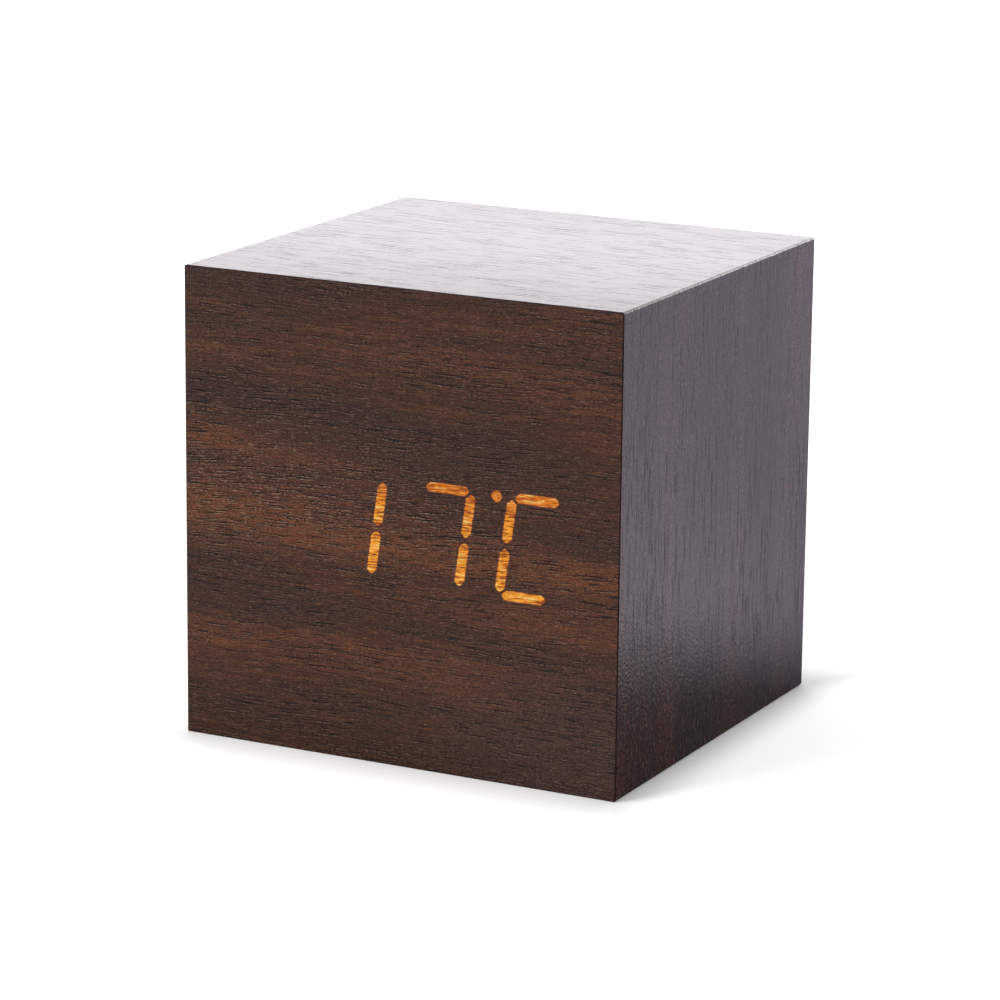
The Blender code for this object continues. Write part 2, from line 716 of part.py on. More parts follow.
def build_board_parts(black, steel, bead):
    """Clock chip, buzzer, crystal and temperature sensor on the back of the display board."""
    seat = DISPLAY_BOARD_BACK + SEAT
    chip_z = DISPLAY_HEIGHT - CHIP_DROP
    chip = block("clock_chip", (CHIP_SIDE - CHIP_LENGTH / 2, seat, chip_z - CHIP_WIDTH / 2),
                 (CHIP_SIDE + CHIP_LENGTH / 2, seat + CHIP_THICKNESS, chip_z + CHIP_WIDTH / 2), black)
    legs = []
    for column in range(LEG_COUNT):
        x = CHIP_SIDE + (column - (LEG_COUNT - 1) / 2) * LEG_PITCH
        reach = CHIP_WIDTH / 2 + LEG_REACH
        legs.append(block("leg", (x - LEG_WIDTH / 2, seat + LEG_THICKNESS, chip_z - reach),
                          (x + LEG_WIDTH / 2, seat + 2 * LEG_THICKNESS, chip_z + reach)))
    fuse(chip, gather("chip_legs", legs))

    radius = BUZZER_DIAMETER / 2
    hole = BUZZER_HOLE_DIAMETER / 2
    profile = [
        (radius, 0),
        (radius, BUZZER_HEIGHT - BUZZER_EDGE),
        (radius - BUZZER_EDGE, BUZZER_HEIGHT),
        (hole, BUZZER_HEIGHT),
        (hole, BUZZER_HEIGHT - BUZZER_HOLE_DEPTH),
    ]
    turned("buzzer", profile, ROUND_SIDES, black, (-BUZZER_SIDE, seat, DISPLAY_HEIGHT - BUZZER_DROP))

    radius = CRYSTAL_DIAMETER / 2
    half = CRYSTAL_LENGTH / 2
    profile = [
        (radius - CRYSTAL_EDGE, -half),
        (radius, -half + CRYSTAL_EDGE),
        (radius, half - CRYSTAL_EDGE),
        (radius - CRYSTAL_EDGE, half),
    ]
    turned("quartz_crystal", profile, SMALL_SIDES, steel,
           (0, seat + radius, DISPLAY_HEIGHT - CRYSTAL_DROP), (1, 0, 0))

    z = DISPLAY_HEIGHT + SENSOR_RISE
    radius = SENSOR_DIAMETER / 2
    shape = bmesh.new()
    bmesh.ops.create_uvsphere(shape, u_segments=SMALL_SIDES, v_segments=TINY_SIDES, radius=radius)
    sensor = link("temperature_sensor", finish_mesh("temperature_sensor", shape, smooth=True), bead,
                  (CHIP_SIDE, seat + SENSOR_STAND_OFF + radius, z))
    legs = [rod("leg", (CHIP_SIDE + side * SENSOR_LEG_PITCH / 2, seat, z),
                (CHIP_SIDE + side * SENSOR_LEG_PITCH / 2, seat + SENSOR_STAND_OFF + radius, z),
                SENSOR_LEG_DIAMETER, TINY_SIDES) for side in (-1, 1)]
    fuse(sensor, gather("sensor_legs", legs))


def row_places():
    """Middles along X of the bosses, buttons and jack, spread evenly over the button board."""
    button = max(FLANGE_DIAMETER, SWITCH_SIDE)
    widths = {"left": BOSS_DIAMETER}
    widths.update({name: button for name in BUTTON_NAMES})
    widths.update({"right": BOSS_DIAMETER, "jack": JACK_WIDTH})
    gap = (2 * BUTTON_BOARD_SIDE - sum(widths.values())) / (len(widths) + 1)
    places = {}
    edge = -BUTTON_BOARD_SIDE
    for name, width in widths.items():
        places[name] = edge + gap + width / 2
        edge += gap + width
    return places


def button_places():
    places = row_places()
    return [(name, places[name]) for name in BUTTON_NAMES]


def boss_places():
    places = row_places()
    return [(name, places[name]) for name in ("left", "right")]


def contact_tails():
    """Name, side and height of the two contacts whose tails go through the floor of the bay."""
    return [("positive", 1, cell_height(CELL_COUNT - 1)), ("negative", -1, cell_height(0))]


def cell_height(index):
    return BAY_LOW + SEAT + CELL_DIAMETER / 2 + index * CELL_PITCH


def build_cover(black):
    """The back plate with its battery bay, bosses, holes, vents and hinge sockets."""
    front = COVER_FRONT - OVERRUN
    back = COVER_BACK + OVERRUN
    middle = COVER_FRONT + COVER_THICKNESS / 2
    screw_hole = SCREW_DIAMETER + 2 * SEAT
    cover = block("back_cover", (-COVER_SIDE, COVER_FRONT, COVER_LOW),
                  (COVER_SIDE, COVER_BACK, COVER_HIGH), black)
    soften(cover, COVER_EDGE)
    fuse(cover, block("tray_outside", (-COVER_SIDE, TRAY_FRONT, TRAY_LOW), (COVER_SIDE, middle, TRAY_HIGH)))
    for name, x in boss_places():
        fuse(cover, drill(f"boss_{name}", x, BUTTON_ROW, SWITCH_FRONT, middle, BOSS_DIAMETER))
        cut(cover, drill(f"boss_bore_{name}", x, BUTTON_ROW, SWITCH_FRONT - OVERRUN, COVER_FRONT, screw_hole))
    cut(cover, block("bay_inside", (-BAY_SIDE, BAY_FLOOR, BAY_LOW), (BAY_SIDE, back, BAY_HIGH)))
    cut(cover, block("rim_relief", (-BAY_SIDE, COVER_FRONT, RIM_HIGH), (BAY_SIDE, back, BAY_LOW + SEAT)))
    for index in range(CELL_COUNT - 1):
        z = (cell_height(index) + cell_height(index + 1)) / 2
        low = (-CELL_LENGTH / 4, BAY_FLOOR - TRAY_WALL / 2, z - RIB_WIDTH / 2)
        high = (CELL_LENGTH / 4, BAY_FLOOR + RIB_HEIGHT, z + RIB_WIDTH / 2)
        fuse(cover, block(f"cradle_rib_{index}", low, high))
    head_seat = COVER_BACK - HEAD_INSET - SCREW_HEAD_HEIGHT - SEAT
    for name, x, z in corner_places():
        cut(cover, drill(f"cover_hole_{name}", x, z, front, back, screw_hole))
        cut(cover, drill(f"counterbore_{name}", x, z, head_seat, back, SCREW_HEAD_DIAMETER + 2 * SEAT))
    for name, x in button_places():
        hole = BUTTON_DIAMETER + 2 * SEAT
        cut(cover, drill(f"button_hole_{name}", x, BUTTON_ROW, front, back, hole, ROUND_SIDES))
    hole = JACK_COLLAR_DIAMETER + 2 * SEAT
    cut(cover, drill("jack_hole", row_places()["jack"], BUTTON_ROW, front, back, hole, ROUND_SIDES))
    vents = []
    vent_middle = (COVER_LOW + HINGE_Z - EAR_RADIUS - SEAT) / 2
    for index in range(VENT_COUNT):
        x = (index - (VENT_COUNT - 1) / 2) * (VENT_LENGTH + VENT_SPACE)
        vents.append(block("vent", (x - VENT_LENGTH / 2, front, vent_middle - VENT_WIDTH / 2),
                           (x + VENT_LENGTH / 2, back, vent_middle + VENT_WIDTH / 2)))
    cut(cover, gather("vents", vents))
    for name, side, z in contact_tails():
        x = side * CONTACT_SIDE
        half = CONTACT_THICKNESS / 2 + SEAT
        cut(cover, block(f"tail_slot_{name}", (x - half, TRAY_FRONT - OVERRUN, z - TAIL_WIDTH / 2 - SEAT),
                         (x + half, BAY_FLOOR + OVERRUN, z + TAIL_WIDTH / 2 + SEAT)))
    for side in (-1, 1):
        x = side * EAR_SPACING / 2
        half = EAR_WIDTH / 2 + SEAT
        low = HINGE_Z - EAR_RADIUS - SEAT
        cut(cover, block(f"ear_notch_{side}", (x - half, COVER_FRONT, low), (x + half, back, BAY_LOW)))
        reach = EAR_WIDTH / 2 + HINGE_PIN_LENGTH + SEAT
        cut(cover, rod(f"hinge_socket_{side}", (x - reach, HINGE_Y, HINGE_Z), (x + reach, HINGE_Y, HINGE_Z),
                       HINGE_PIN_DIAMETER + 2 * PIN_CLEARANCE, SMALL_SIDES))
    notch_side = LATCH_WIDTH / 2 + SEAT
    cut(cover, block("latch_notch", (-notch_side, COVER_BACK - LATCH_LIP, BAY_HIGH - SEAT),
                     (notch_side, back, BAY_HIGH + LATCH_LIP)))


def build_door(black):
    """The battery door, its origin on the axis of its two ears."""
    hinge = Vector((0, HINGE_Y, HINGE_Z))
    low = Vector((-DOOR_SIDE, DOOR_FRONT, DOOR_LOW)) - hinge
    high = Vector((DOOR_SIDE, DOOR_BACK, DOOR_HIGH)) - hinge
    shape = bmesh.new()
    bmesh.ops.create_cube(shape, size=1)
    bmesh.ops.scale(shape, vec=high - low, verts=shape.verts)
    bmesh.ops.translate(shape, vec=(low + high) / 2, verts=shape.verts)
    door = link("battery_door", finish_mesh("battery_door", shape), black, hinge)
    for index in range(CELL_COUNT):
        z = cell_height(index)
        low = (-CELL_LENGTH / 4, DOOR_FRONT - DOOR_RIB_HEIGHT, z - DOOR_RIB_WIDTH / 2)
        high = (CELL_LENGTH / 4, DOOR_FRONT + DOOR_RIB_HEIGHT, z + DOOR_RIB_WIDTH / 2)
        fuse(door, block(f"door_rib_{index}", low, high))
    for side in (-1, 1):
        x = side * EAR_SPACING / 2
        half = EAR_WIDTH / 2
        top = DOOR_LOW - HINGE_Z + EAR_RADIUS
        points = [(EAR_RADIUS, top), (-EAR_RADIUS, top)]
        for step in range(SMALL_SIDES // 2 + 1):
            angle = math.pi + math.pi * step / (SMALL_SIDES // 2)
            points.append((EAR_RADIUS * math.cos(angle), EAR_RADIUS * math.sin(angle)))
        fuse(door, ear_prism(f"ear_{side}", points, x - half, x + half))
        reach = half + HINGE_PIN_LENGTH
        fuse(door, rod(f"hinge_pin_{side}", (x - reach, HINGE_Y, HINGE_Z), (x + reach, HINGE_Y, HINGE_Z),
                       HINGE_PIN_DIAMETER, SMALL_SIDES))
    fuse(door, block("latch_tongue", (-LATCH_WIDTH / 2, DOOR_BACK - LATCH_LIP + SEAT, DOOR_HIGH - LATCH_ROOT),
                     (LATCH_WIDTH / 2, DOOR_BACK, BAY_HIGH + LATCH_LIP - SEAT)))
    grips = []
    for index in range(GRIP_COUNT):
        z = DOOR_HIGH - GRIP_DROP - index * GRIP_PITCH
        grips.append(block("grip", (-GRIP_LENGTH / 2, DOOR_BACK - GRIP_DEPTH, z - GRIP_WIDTH / 2),
                           (GRIP_LENGTH / 2, DOOR_BACK + OVERRUN, z + GRIP_WIDTH / 2)))
    cut(door, gather("door_grips", grips))


def ear_prism(name, points, left, right):
    """Extrude an outline of (y, z) points about the door's hinge from left to right along X."""
    shape = bmesh.new()
    near = [shape.verts.new((left, HINGE_Y + y, HINGE_Z + z)) for y, z in points]
    far = [shape.verts.new((right, HINGE_Y + y, HINGE_Z + z)) for y, z in points]
    for step in range(len(points)):
        after = (step + 1) % len(points)
        shape.faces.new((near[step], near[after], far[after], far[step]))
    shape.faces.new(list(reversed(near)))
    shape.faces.new(far)
    return link(name, finish_mesh(name, shape), None)


def build_cells(jacket):
    """Three cells side by side, each the other way round from the one below it."""
    radius = CELL_DIAMETER / 2
    nub = CELL_NUB_DIAMETER / 2
    body = CELL_LENGTH - CELL_NUB_LENGTH
    profile = [
        (radius - CELL_EDGE, 0),
        (radius, CELL_EDGE),
        (radius, body - CELL_EDGE),
        (radius - CELL_EDGE, body),
        (nub, body),
        (nub, CELL_LENGTH),
    ]
    nub_tip = CONTACT_FACE - SEAT
    for index, name in enumerate(("bottom", "middle", "top")):
        side = 1 if index % 2 == 0 else -1
        start = (side * (nub_tip - CELL_LENGTH), CELL_PLACE, cell_height(index))
        turned(f"battery_cell_{name}", profile, ROUND_SIDES, jacket, start, (side, 0, 0))


def build_contacts(steel):
    """End contacts with tails, link contacts, and a conical spring at each cell's flat end."""
    half = CONTACT_HEIGHT / 2
    low_y = CELL_PLACE - CONTACT_DEPTH / 2
    high_y = CELL_PLACE + CONTACT_DEPTH / 2
    spans = {
        "contact_positive": (1, CELL_COUNT - 1, CELL_COUNT - 1),
        "contact_negative": (-1, 0, 0),
        "contact_link_left": (-1, 1, CELL_COUNT - 1),
        "contact_link_right": (1, 0, 1),
    }
    plates = {}
    for name, (side, first, last) in spans.items():
        inner, outer = sorted((side * CONTACT_FACE, side * (CONTACT_FACE + CONTACT_THICKNESS)))
        low = (inner, low_y, cell_height(first) - half)
        high = (outer, high_y, cell_height(last) + half)
        plates[name] = block(name, low, high, steel)
    for name, side, z in contact_tails():
        inner, outer = sorted((side * CONTACT_FACE, side * (CONTACT_FACE + CONTACT_THICKNESS)))
        low = (inner, TAIL_FRONT, z - TAIL_WIDTH / 2)
        high = (outer, CELL_PLACE, z + TAIL_WIDTH / 2)
        fuse(plates[f"contact_{name}"], block(f"tail_{name}", low, high))

    count = SPRING_TURNS * SPRING_POINTS_PER_TURN
    for index, name in enumerate(("bottom", "middle", "top")):
        side = -1 if index % 2 == 0 else 1
        points = []
        for step in range(count + 1):
            share = step / count
            angle = math.tau * step / SPRING_POINTS_PER_TURN
            radius = SPRING_WIDE_RADIUS + (SPRING_NARROW_RADIUS - SPRING_WIDE_RADIUS) * share
            out = CONTACT_FACE - SEAT - SPRING_WIRE / 2 - (SPRING_LENGTH - SPRING_WIRE) * share
            y = CELL_PLACE + radius * math.cos(angle)
            points.append((side * out, y, cell_height(index) + radius * math.sin(angle)))
        curve_tube(f"contact_spring_{name}", points, SPRING_WIRE, 1, steel)
        print(f"contact_spring_{name}: least gap between its turns {least_gap(points) * 1000:.2f} mm")


def least_gap(points):
    """The least gap between turns of a coil, measured between points half a turn or more apart."""
    places = [Vector(point) for point in points]
    gaps = [(places[later] - places[earlier]).length - SPRING_WIRE
            for earlier in range(len(places))
            for later in range(earlier + SPRING_POINTS_PER_TURN // 2, len(places))]
    return min(gaps)


def build_controls(black, button_plastic, white, laminate, steel):
    """Buttons, their plungers and switches, the DC jack and the board that carries them."""
    for name, x in button_places():
        slide = axis_empty(f"button_{name}_axis", (x, COVER_BACK, BUTTON_ROW))
        cap = BUTTON_DIAMETER / 2
        flange = FLANGE_DIAMETER / 2
        top = COVER_BACK + BUTTON_PROUD - FLANGE_FRONT
        profile = [
            (flange, 0),
            (flange, FLANGE_THICKNESS),
            (cap, FLANGE_THICKNESS),
            (cap, top - BUTTON_EDGE),
            (cap - BUTTON_EDGE, top),
        ]
        foot = (x, FLANGE_FRONT, BUTTON_ROW)
        carry(slide, turned(f"button_{name}", profile, ROUND_SIDES, button_plastic, foot))
        plunger_front = PLUNGER_BACK - PLUNGER_LENGTH
        start = (x, plunger_front, BUTTON_ROW)
        end = (x, PLUNGER_BACK, BUTTON_ROW)
        carry(slide, rod(f"plunger_{name}", start, end, PLUNGER_DIAMETER, SMALL_SIDES, white))
        half = SWITCH_SIDE / 2
        switch = block(f"switch_{name}", (x - half, SWITCH_FRONT, BUTTON_ROW - half),
                       (x + half, SWITCH_BACK, BUTTON_ROW + half), black)
        soften(switch, SWITCH_EDGE)
        well_front = plunger_front - BUTTON_TRAVEL - SEAT
        well = PLUNGER_DIAMETER + 2 * SEAT
        cut(switch, drill(f"switch_well_{name}", x, BUTTON_ROW, well_front, SWITCH_BACK + OVERRUN, well))

    half = BUTTON_BOARD_HEIGHT / 2
    board = block("button_board", (-BUTTON_BOARD_SIDE, BUTTON_BOARD_FRONT, BUTTON_ROW - half),
                  (BUTTON_BOARD_SIDE, BUTTON_BOARD_BACK, BUTTON_ROW + half), laminate)
    head_face = SEAT + SCREW_HEAD_HEIGHT
    for name, x in boss_places():
        cut(board, drill(f"board_hole_{name}", x, BUTTON_ROW, BUTTON_BOARD_FRONT - OVERRUN,
                         BUTTON_BOARD_BACK + OVERRUN, SCREW_DIAMETER + 2 * SEAT))
        screw(f"board_screw_{name}", head_face, BOARD_SCREW_LENGTH + head_face, steel,
              (x, BUTTON_BOARD_FRONT, BUTTON_ROW), (0, -1, 0))

    x = row_places()["jack"]
    jack = block("dc_jack", (x - JACK_WIDTH / 2, SWITCH_FRONT, BUTTON_ROW - JACK_HEIGHT / 2),
                 (x + JACK_WIDTH / 2, FLANGE_BACK, BUTTON_ROW + JACK_HEIGHT / 2), black)
    mouth = COVER_BACK - JACK_COLLAR_INSET
    collar_front = FLANGE_BACK - OVERRUN
    fuse(jack, drill("jack_collar", x, BUTTON_ROW, collar_front, mouth, JACK_COLLAR_DIAMETER, ROUND_SIDES))
    cut(jack, turned("jack_bore", jack_bore_profile(mouth), ROUND_SIDES, None, (x, 0, BUTTON_ROW)))


def jack_bore_profile(mouth):
    """The ring-shaped space round the jack's centre pin, open at the mouth."""
    bore = JACK_BORE_DIAMETER / 2
    pin = JACK_PIN_DIAMETER / 2
    bottom = mouth - JACK_BORE_DEPTH
    return [
        (pin, mouth - JACK_PIN_INSET),
        (pin, bottom),
        (bore, bottom),
        (bore, mouth + OVERRUN),
    ]


def build_wires(red, black, grey):
    """Battery leads from the contact tails, and the ribbon between the two boards."""
    board_face = BUTTON_BOARD_FRONT - SEAT
    level = BUTTON_ROW - BUTTON_BOARD_HEIGHT / 4
    lead_end = row_places()["right"] + BOSS_DIAMETER
    for name, material, (tail, side, z) in zip(("red", "black"), (red, black), contact_tails()):
        start = TAIL_FRONT - SEAT
        knots = [(side * CONTACT_SIDE, start, z)]
        for out_share, reach_share, rise_share in LEAD_KNOT_SHARES:
            x = side * (lead_end + (CONTACT_SIDE - lead_end) * out_share)
            knots.append((x, start - LEAD_REACH * reach_share, z + (level - z) * rise_share))
        knots.append((side * lead_end, board_face - LEAD_END_RUN, level))
        knots.append((side * lead_end, board_face, level))
        curve_tube(f"battery_lead_{name}", smooth_route(knots, LEAD_POINTS), LEAD_DIAMETER, 2, material)

    start = DISPLAY_BOARD_BACK + SEAT
    foot = DISPLAY_HEIGHT + DISPLAY_BOARD_HEIGHT / 2 - RIBBON_FOOT
    knots = [(0, start, foot)]
    for run_share, rise_share in RIBBON_KNOT_SHARES:
        knots.append((0, start + (board_face - start) * run_share, foot + (level - foot) * rise_share))
    knots.append((0, board_face, level))
    middle = smooth_route(knots, RIBBON_POINTS)
    upper = []
    lower = []
    for index, point in enumerate(middle):
        ahead = middle[min(index + 1, len(middle) - 1)] - middle[max(index - 1, 0)]
        if index in (0, len(middle) - 1):
            ahead = Vector((0, 1, 0))
        across = Vector((0, -ahead.z, ahead.y)).normalized() * RIBBON_THICKNESS / 2
        upper.append(point + across)
        lower.append(point - across)
    outline = upper + list(reversed(lower))
    shape = bmesh.new()
    left = [shape.verts.new((-RIBBON_WIDTH / 2, point.y, point.z)) for point in outline]
    right = [shape.verts.new((RIBBON_WIDTH / 2, point.y, point.z)) for point in outline]
    for step in range(len(outline)):
        after = (step + 1) % len(outline)
        shape.faces.new((left[step], left[after], right[after], right[step]))
    shape.faces.new(list(reversed(left)))
    shape.faces.new(right)
    link("ribbon_cable", finish_mesh("ribbon_cable", shape, smooth=True), grey)


def build():
    clear_scene()
    film = make_material("walnut_film", (0.083, 0.043, 0.031), 0.42)
    fibreboard = make_material("fibreboard", (0.42, 0.29, 0.17), 0.85)
    amber = make_material("amber_light", (0.90, 0.36, 0.06), 0.45, glow=(1.0, 0.36, 0.05))
    module_plastic = make_material("module_plastic", (0.03, 0.03, 0.032), 0.5)
    laminate = make_material("green_laminate", (0.02, 0.13, 0.06), 0.35)
    black = make_material("black_plastic", (0.016, 0.016, 0.017), 0.5)
    button_plastic = make_material("button_plastic", (0.03, 0.03, 0.032), 0.4)
    white = make_material("white_plastic", (0.75, 0.75, 0.72), 0.4)
    steel = make_material("plated_steel", (0.62, 0.61, 0.58), 0.3, metallic=1.0)
    jacket = make_material("cell_jacket", (0.10, 0.16, 0.13), 0.35)
    bead = make_material("blue_bead", (0.05, 0.12, 0.30), 0.35)
    red = make_material("red_insulation", (0.45, 0.02, 0.02), 0.5)
    black_wire = make_material("black_insulation", (0.015, 0.015, 0.015), 0.5)
    grey = make_material("grey_insulation", (0.35, 0.35, 0.36), 0.5)

    build_case(film, fibreboard)
    build_display(amber, module_plastic, laminate, steel)
    build_board_parts(black, steel, bead)
    build_cover(black)
    for name, x, z in corner_places():
        screw(f"cover_screw_{name}", -HEAD_INSET, COVER_SCREW_LENGTH, steel, (x, COVER_BACK, z), (0, 1, 0))
    build_door(black)
    build_cells(jacket)
    build_contacts(steel)
    build_controls(black, button_plastic, white, laminate, steel)
    build_wires(red, black_wire, grey)


build()
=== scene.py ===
"""Looks of the wooden desk clock: walnut film, amber read-out, back cover, and what lies inside.

Lengths in this file are in millimetres, and point() turns them into the frame's metres.
"""
import json
import math

import bmesh
import bpy
from mathutils import Matrix, Vector


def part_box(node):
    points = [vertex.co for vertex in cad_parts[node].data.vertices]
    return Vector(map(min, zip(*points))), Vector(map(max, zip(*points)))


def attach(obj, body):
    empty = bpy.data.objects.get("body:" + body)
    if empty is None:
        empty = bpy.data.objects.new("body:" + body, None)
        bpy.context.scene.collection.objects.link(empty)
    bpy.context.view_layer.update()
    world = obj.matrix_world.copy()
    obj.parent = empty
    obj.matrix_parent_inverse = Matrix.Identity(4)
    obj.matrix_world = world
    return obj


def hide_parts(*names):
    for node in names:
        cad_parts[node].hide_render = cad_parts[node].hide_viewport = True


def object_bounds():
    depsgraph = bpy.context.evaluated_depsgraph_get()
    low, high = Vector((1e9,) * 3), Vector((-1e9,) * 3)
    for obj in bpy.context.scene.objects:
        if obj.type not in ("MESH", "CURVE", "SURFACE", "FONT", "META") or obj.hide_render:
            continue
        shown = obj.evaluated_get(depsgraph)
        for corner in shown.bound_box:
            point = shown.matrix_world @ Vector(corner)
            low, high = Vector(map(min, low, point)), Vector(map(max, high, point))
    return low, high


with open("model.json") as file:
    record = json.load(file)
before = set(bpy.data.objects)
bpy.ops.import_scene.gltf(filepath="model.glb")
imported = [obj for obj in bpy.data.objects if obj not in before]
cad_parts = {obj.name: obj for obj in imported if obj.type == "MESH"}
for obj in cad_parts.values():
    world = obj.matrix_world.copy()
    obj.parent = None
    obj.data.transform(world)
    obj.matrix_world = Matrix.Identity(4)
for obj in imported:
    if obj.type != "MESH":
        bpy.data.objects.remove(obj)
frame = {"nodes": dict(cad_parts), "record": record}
CAD_LOW, CAD_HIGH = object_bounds()

MM = 0.001
SMOOTH_BELOW = math.radians(28.0)
WELD_DISTANCE = 0.001
ROUND_SIDES = 64

# Case, read from the frame
SIDE = CAD_HIGH.x / MM
HEIGHT = CAD_HIGH.z / MM
FRONT = CAD_LOW.y / MM
BACK = CAD_HIGH.y / MM

# Case film and boards
WALL = 5.0
FILM = 0.4
GLUE_LINE = 0.15
SEAM = 0.03
FOLD_RADIUS = 0.35
FOLD_STEPS = 8
FRONT_EDGE_ROUND = 0.09
REAR_EDGE_ROUND = 0.22
RIM_EDGE_ROUND = 0.12

# Read-out
DISPLAY_HEIGHT = 31.4
DIGIT_PITCH = 12.7
ONE = -0.5 * DIGIT_PITCH
SEVEN = 0.5 * DIGIT_PITCH
LETTER = 1.5 * DIGIT_PITCH
DIGIT_SLANT = math.radians(8.0)
BAR_SIDE_OFFSET = 3.45
BAR_TOP_OFFSET = 6.42
ACROSS_BAR = (6.2, 1.42)
UP_BAR = (5.8, 1.5)
BAR_TIP = 0.3
BAR_CORNER = 0.34
CORNER_STEPS = 4
DOT_DIAMETER = 1.6
DOT_PLACE = (SEVEN + 6.988, 6.35)
DOT_SIDES = 32
WINDOW_CLEARANCE = 0.1
GLOW_INSET = 0.22
PIPE_BACK = FRONT + 2.7

# Each lit bar: the middle of its digit, which way it lies, and its place in shares of the two offsets
LIT_BARS = {
    "lit_one_upper": (ONE, "up", 1, 0.5),
    "lit_one_lower": (ONE, "up", 1, -0.5),
    "lit_seven_top": (SEVEN, "across", 0, 1),
    "lit_seven_upper": (SEVEN, "up", 1, 0.5),
    "lit_seven_lower": (SEVEN, "up", 1, -0.5),
    "lit_c_top": (LETTER, "across", 0, 1),
    "lit_c_upper": (LETTER, "up", -1, 0.5),
    "lit_c_lower": (LETTER, "up", -1, -0.5),
    "lit_c_bottom": (LETTER, "across", 0, -1),
}

# Buttons
BUTTON_RADIUS = 2.5
BUTTON_ROUND = 0.35
BUTTON_DISH = 0.12
DISH_RINGS = (1.7, 1.2, 0.6, 0.15)
FLANGE_THICKNESS = 0.9

# Screws. The dome's points are radii and drops from the top, the recess's are depths and shares of its width
SCREW_HEAD_HEIGHT = 1.2
SCREW_SHANK = 0.9
SCREW_POINT = 0.3
SCREW_TIP = 0.8
SCREW_PITCH = 0.7
SCREW_THREAD = 0.12
SCREW_NECK = 0.6
SCREW_ROUND = 0.5
SCREW_CROWN = 0.08
SCREW_DOME = ((0.9, 0.02), (0.2, 0.0))
SCREW_SIDES = 40
RECESS = (1.0, 0.25)
RECESS_RINGS = ((-0.3, 1.05), (0.0, 1.0), (0.7, 0.55))

# Power socket. The collar's root and the bore's mouth are radii added, and places along the axis
BLOCK_ROUND = 0.25
COLLAR = 2.8
COLLAR_REACH = 2.4
COLLAR_ROOT = ((-0.6, -1.5), (0.0, -1.0))
COLLAR_ROUND = 0.15
BORE = 1.8
BORE_DEPTH = 6.2
BORE_MOUTH = ((0.0, -0.25), (0.25, 0.0), (0.35, 0.5))
PIN = 0.6
PIN_INSET = 0.8
PIN_ROOT = 0.3
PIN_ROUND = 0.4
PIN_SIDES = 32

# Cells and springs. The base's points are insets from the can's side, and places along the axis
CELL_BASE = ((1.5, 0.25), (1.3, 0.0))
CELL_SHOULDER = 1.0
CELL_SINK = 0.12
CELL_SKIRT = 0.5
NUB_LENGTH = 1.0
NUB = 1.9
NUB_ROUND = 0.25
CELL_ROUND = 0.6
SPRING_WIRE = 0.5
SPRING_TURNS = 3
SPRING_STEPS = 24
SPRING_RADII = (3.0, 1.8)

# Camera: its bearing and its rise above level, seen from the clock, and its roll, target and lens
CAMERA_AZIMUTH = math.radians(26.964)
CAMERA_ELEVATION = math.radians(13.958)
CAMERA_ROLL = math.radians(0.637)
CAMERA_TARGET = (-0.55, 0.0, 28.94)
CAMERA_DISTANCE = 553.8
CAMERA_LENS = 148.56
CAMERA_SENSOR = 36.0

# Studio
FLOOR_REACH = 3000.0
FLOOR_DROP = 0.02
WORLD_STRENGTH = 0.30
KEY = {"place": (-420, -520, 620), "target": (0, 0, 30), "size": (420, 420), "watts": 4.9}
SCREEN = {"place": (-260, 900, 330), "target": (0, 0, 40), "size": (1820, 620), "watts": 10.4,
          "colour": (0.94, 0.965, 1.0)}

# The floor as a mirror shows it, a painted reflection: brightness behind the clock in the middle, per
# millimetre back and per millimetre aside, its limits, the brightness before the clock, and the painted
# brightening added near its front right
MIRROR_BEHIND = (0.613, -0.0095, 0.0152)
MIRROR_LIMITS = (0.38, 1.0)
MIRROR_BEFORE = 0.80
MIRROR_NEAR = 0.20


def point(x, y, z):
    return Vector((x, y, z)) * MM


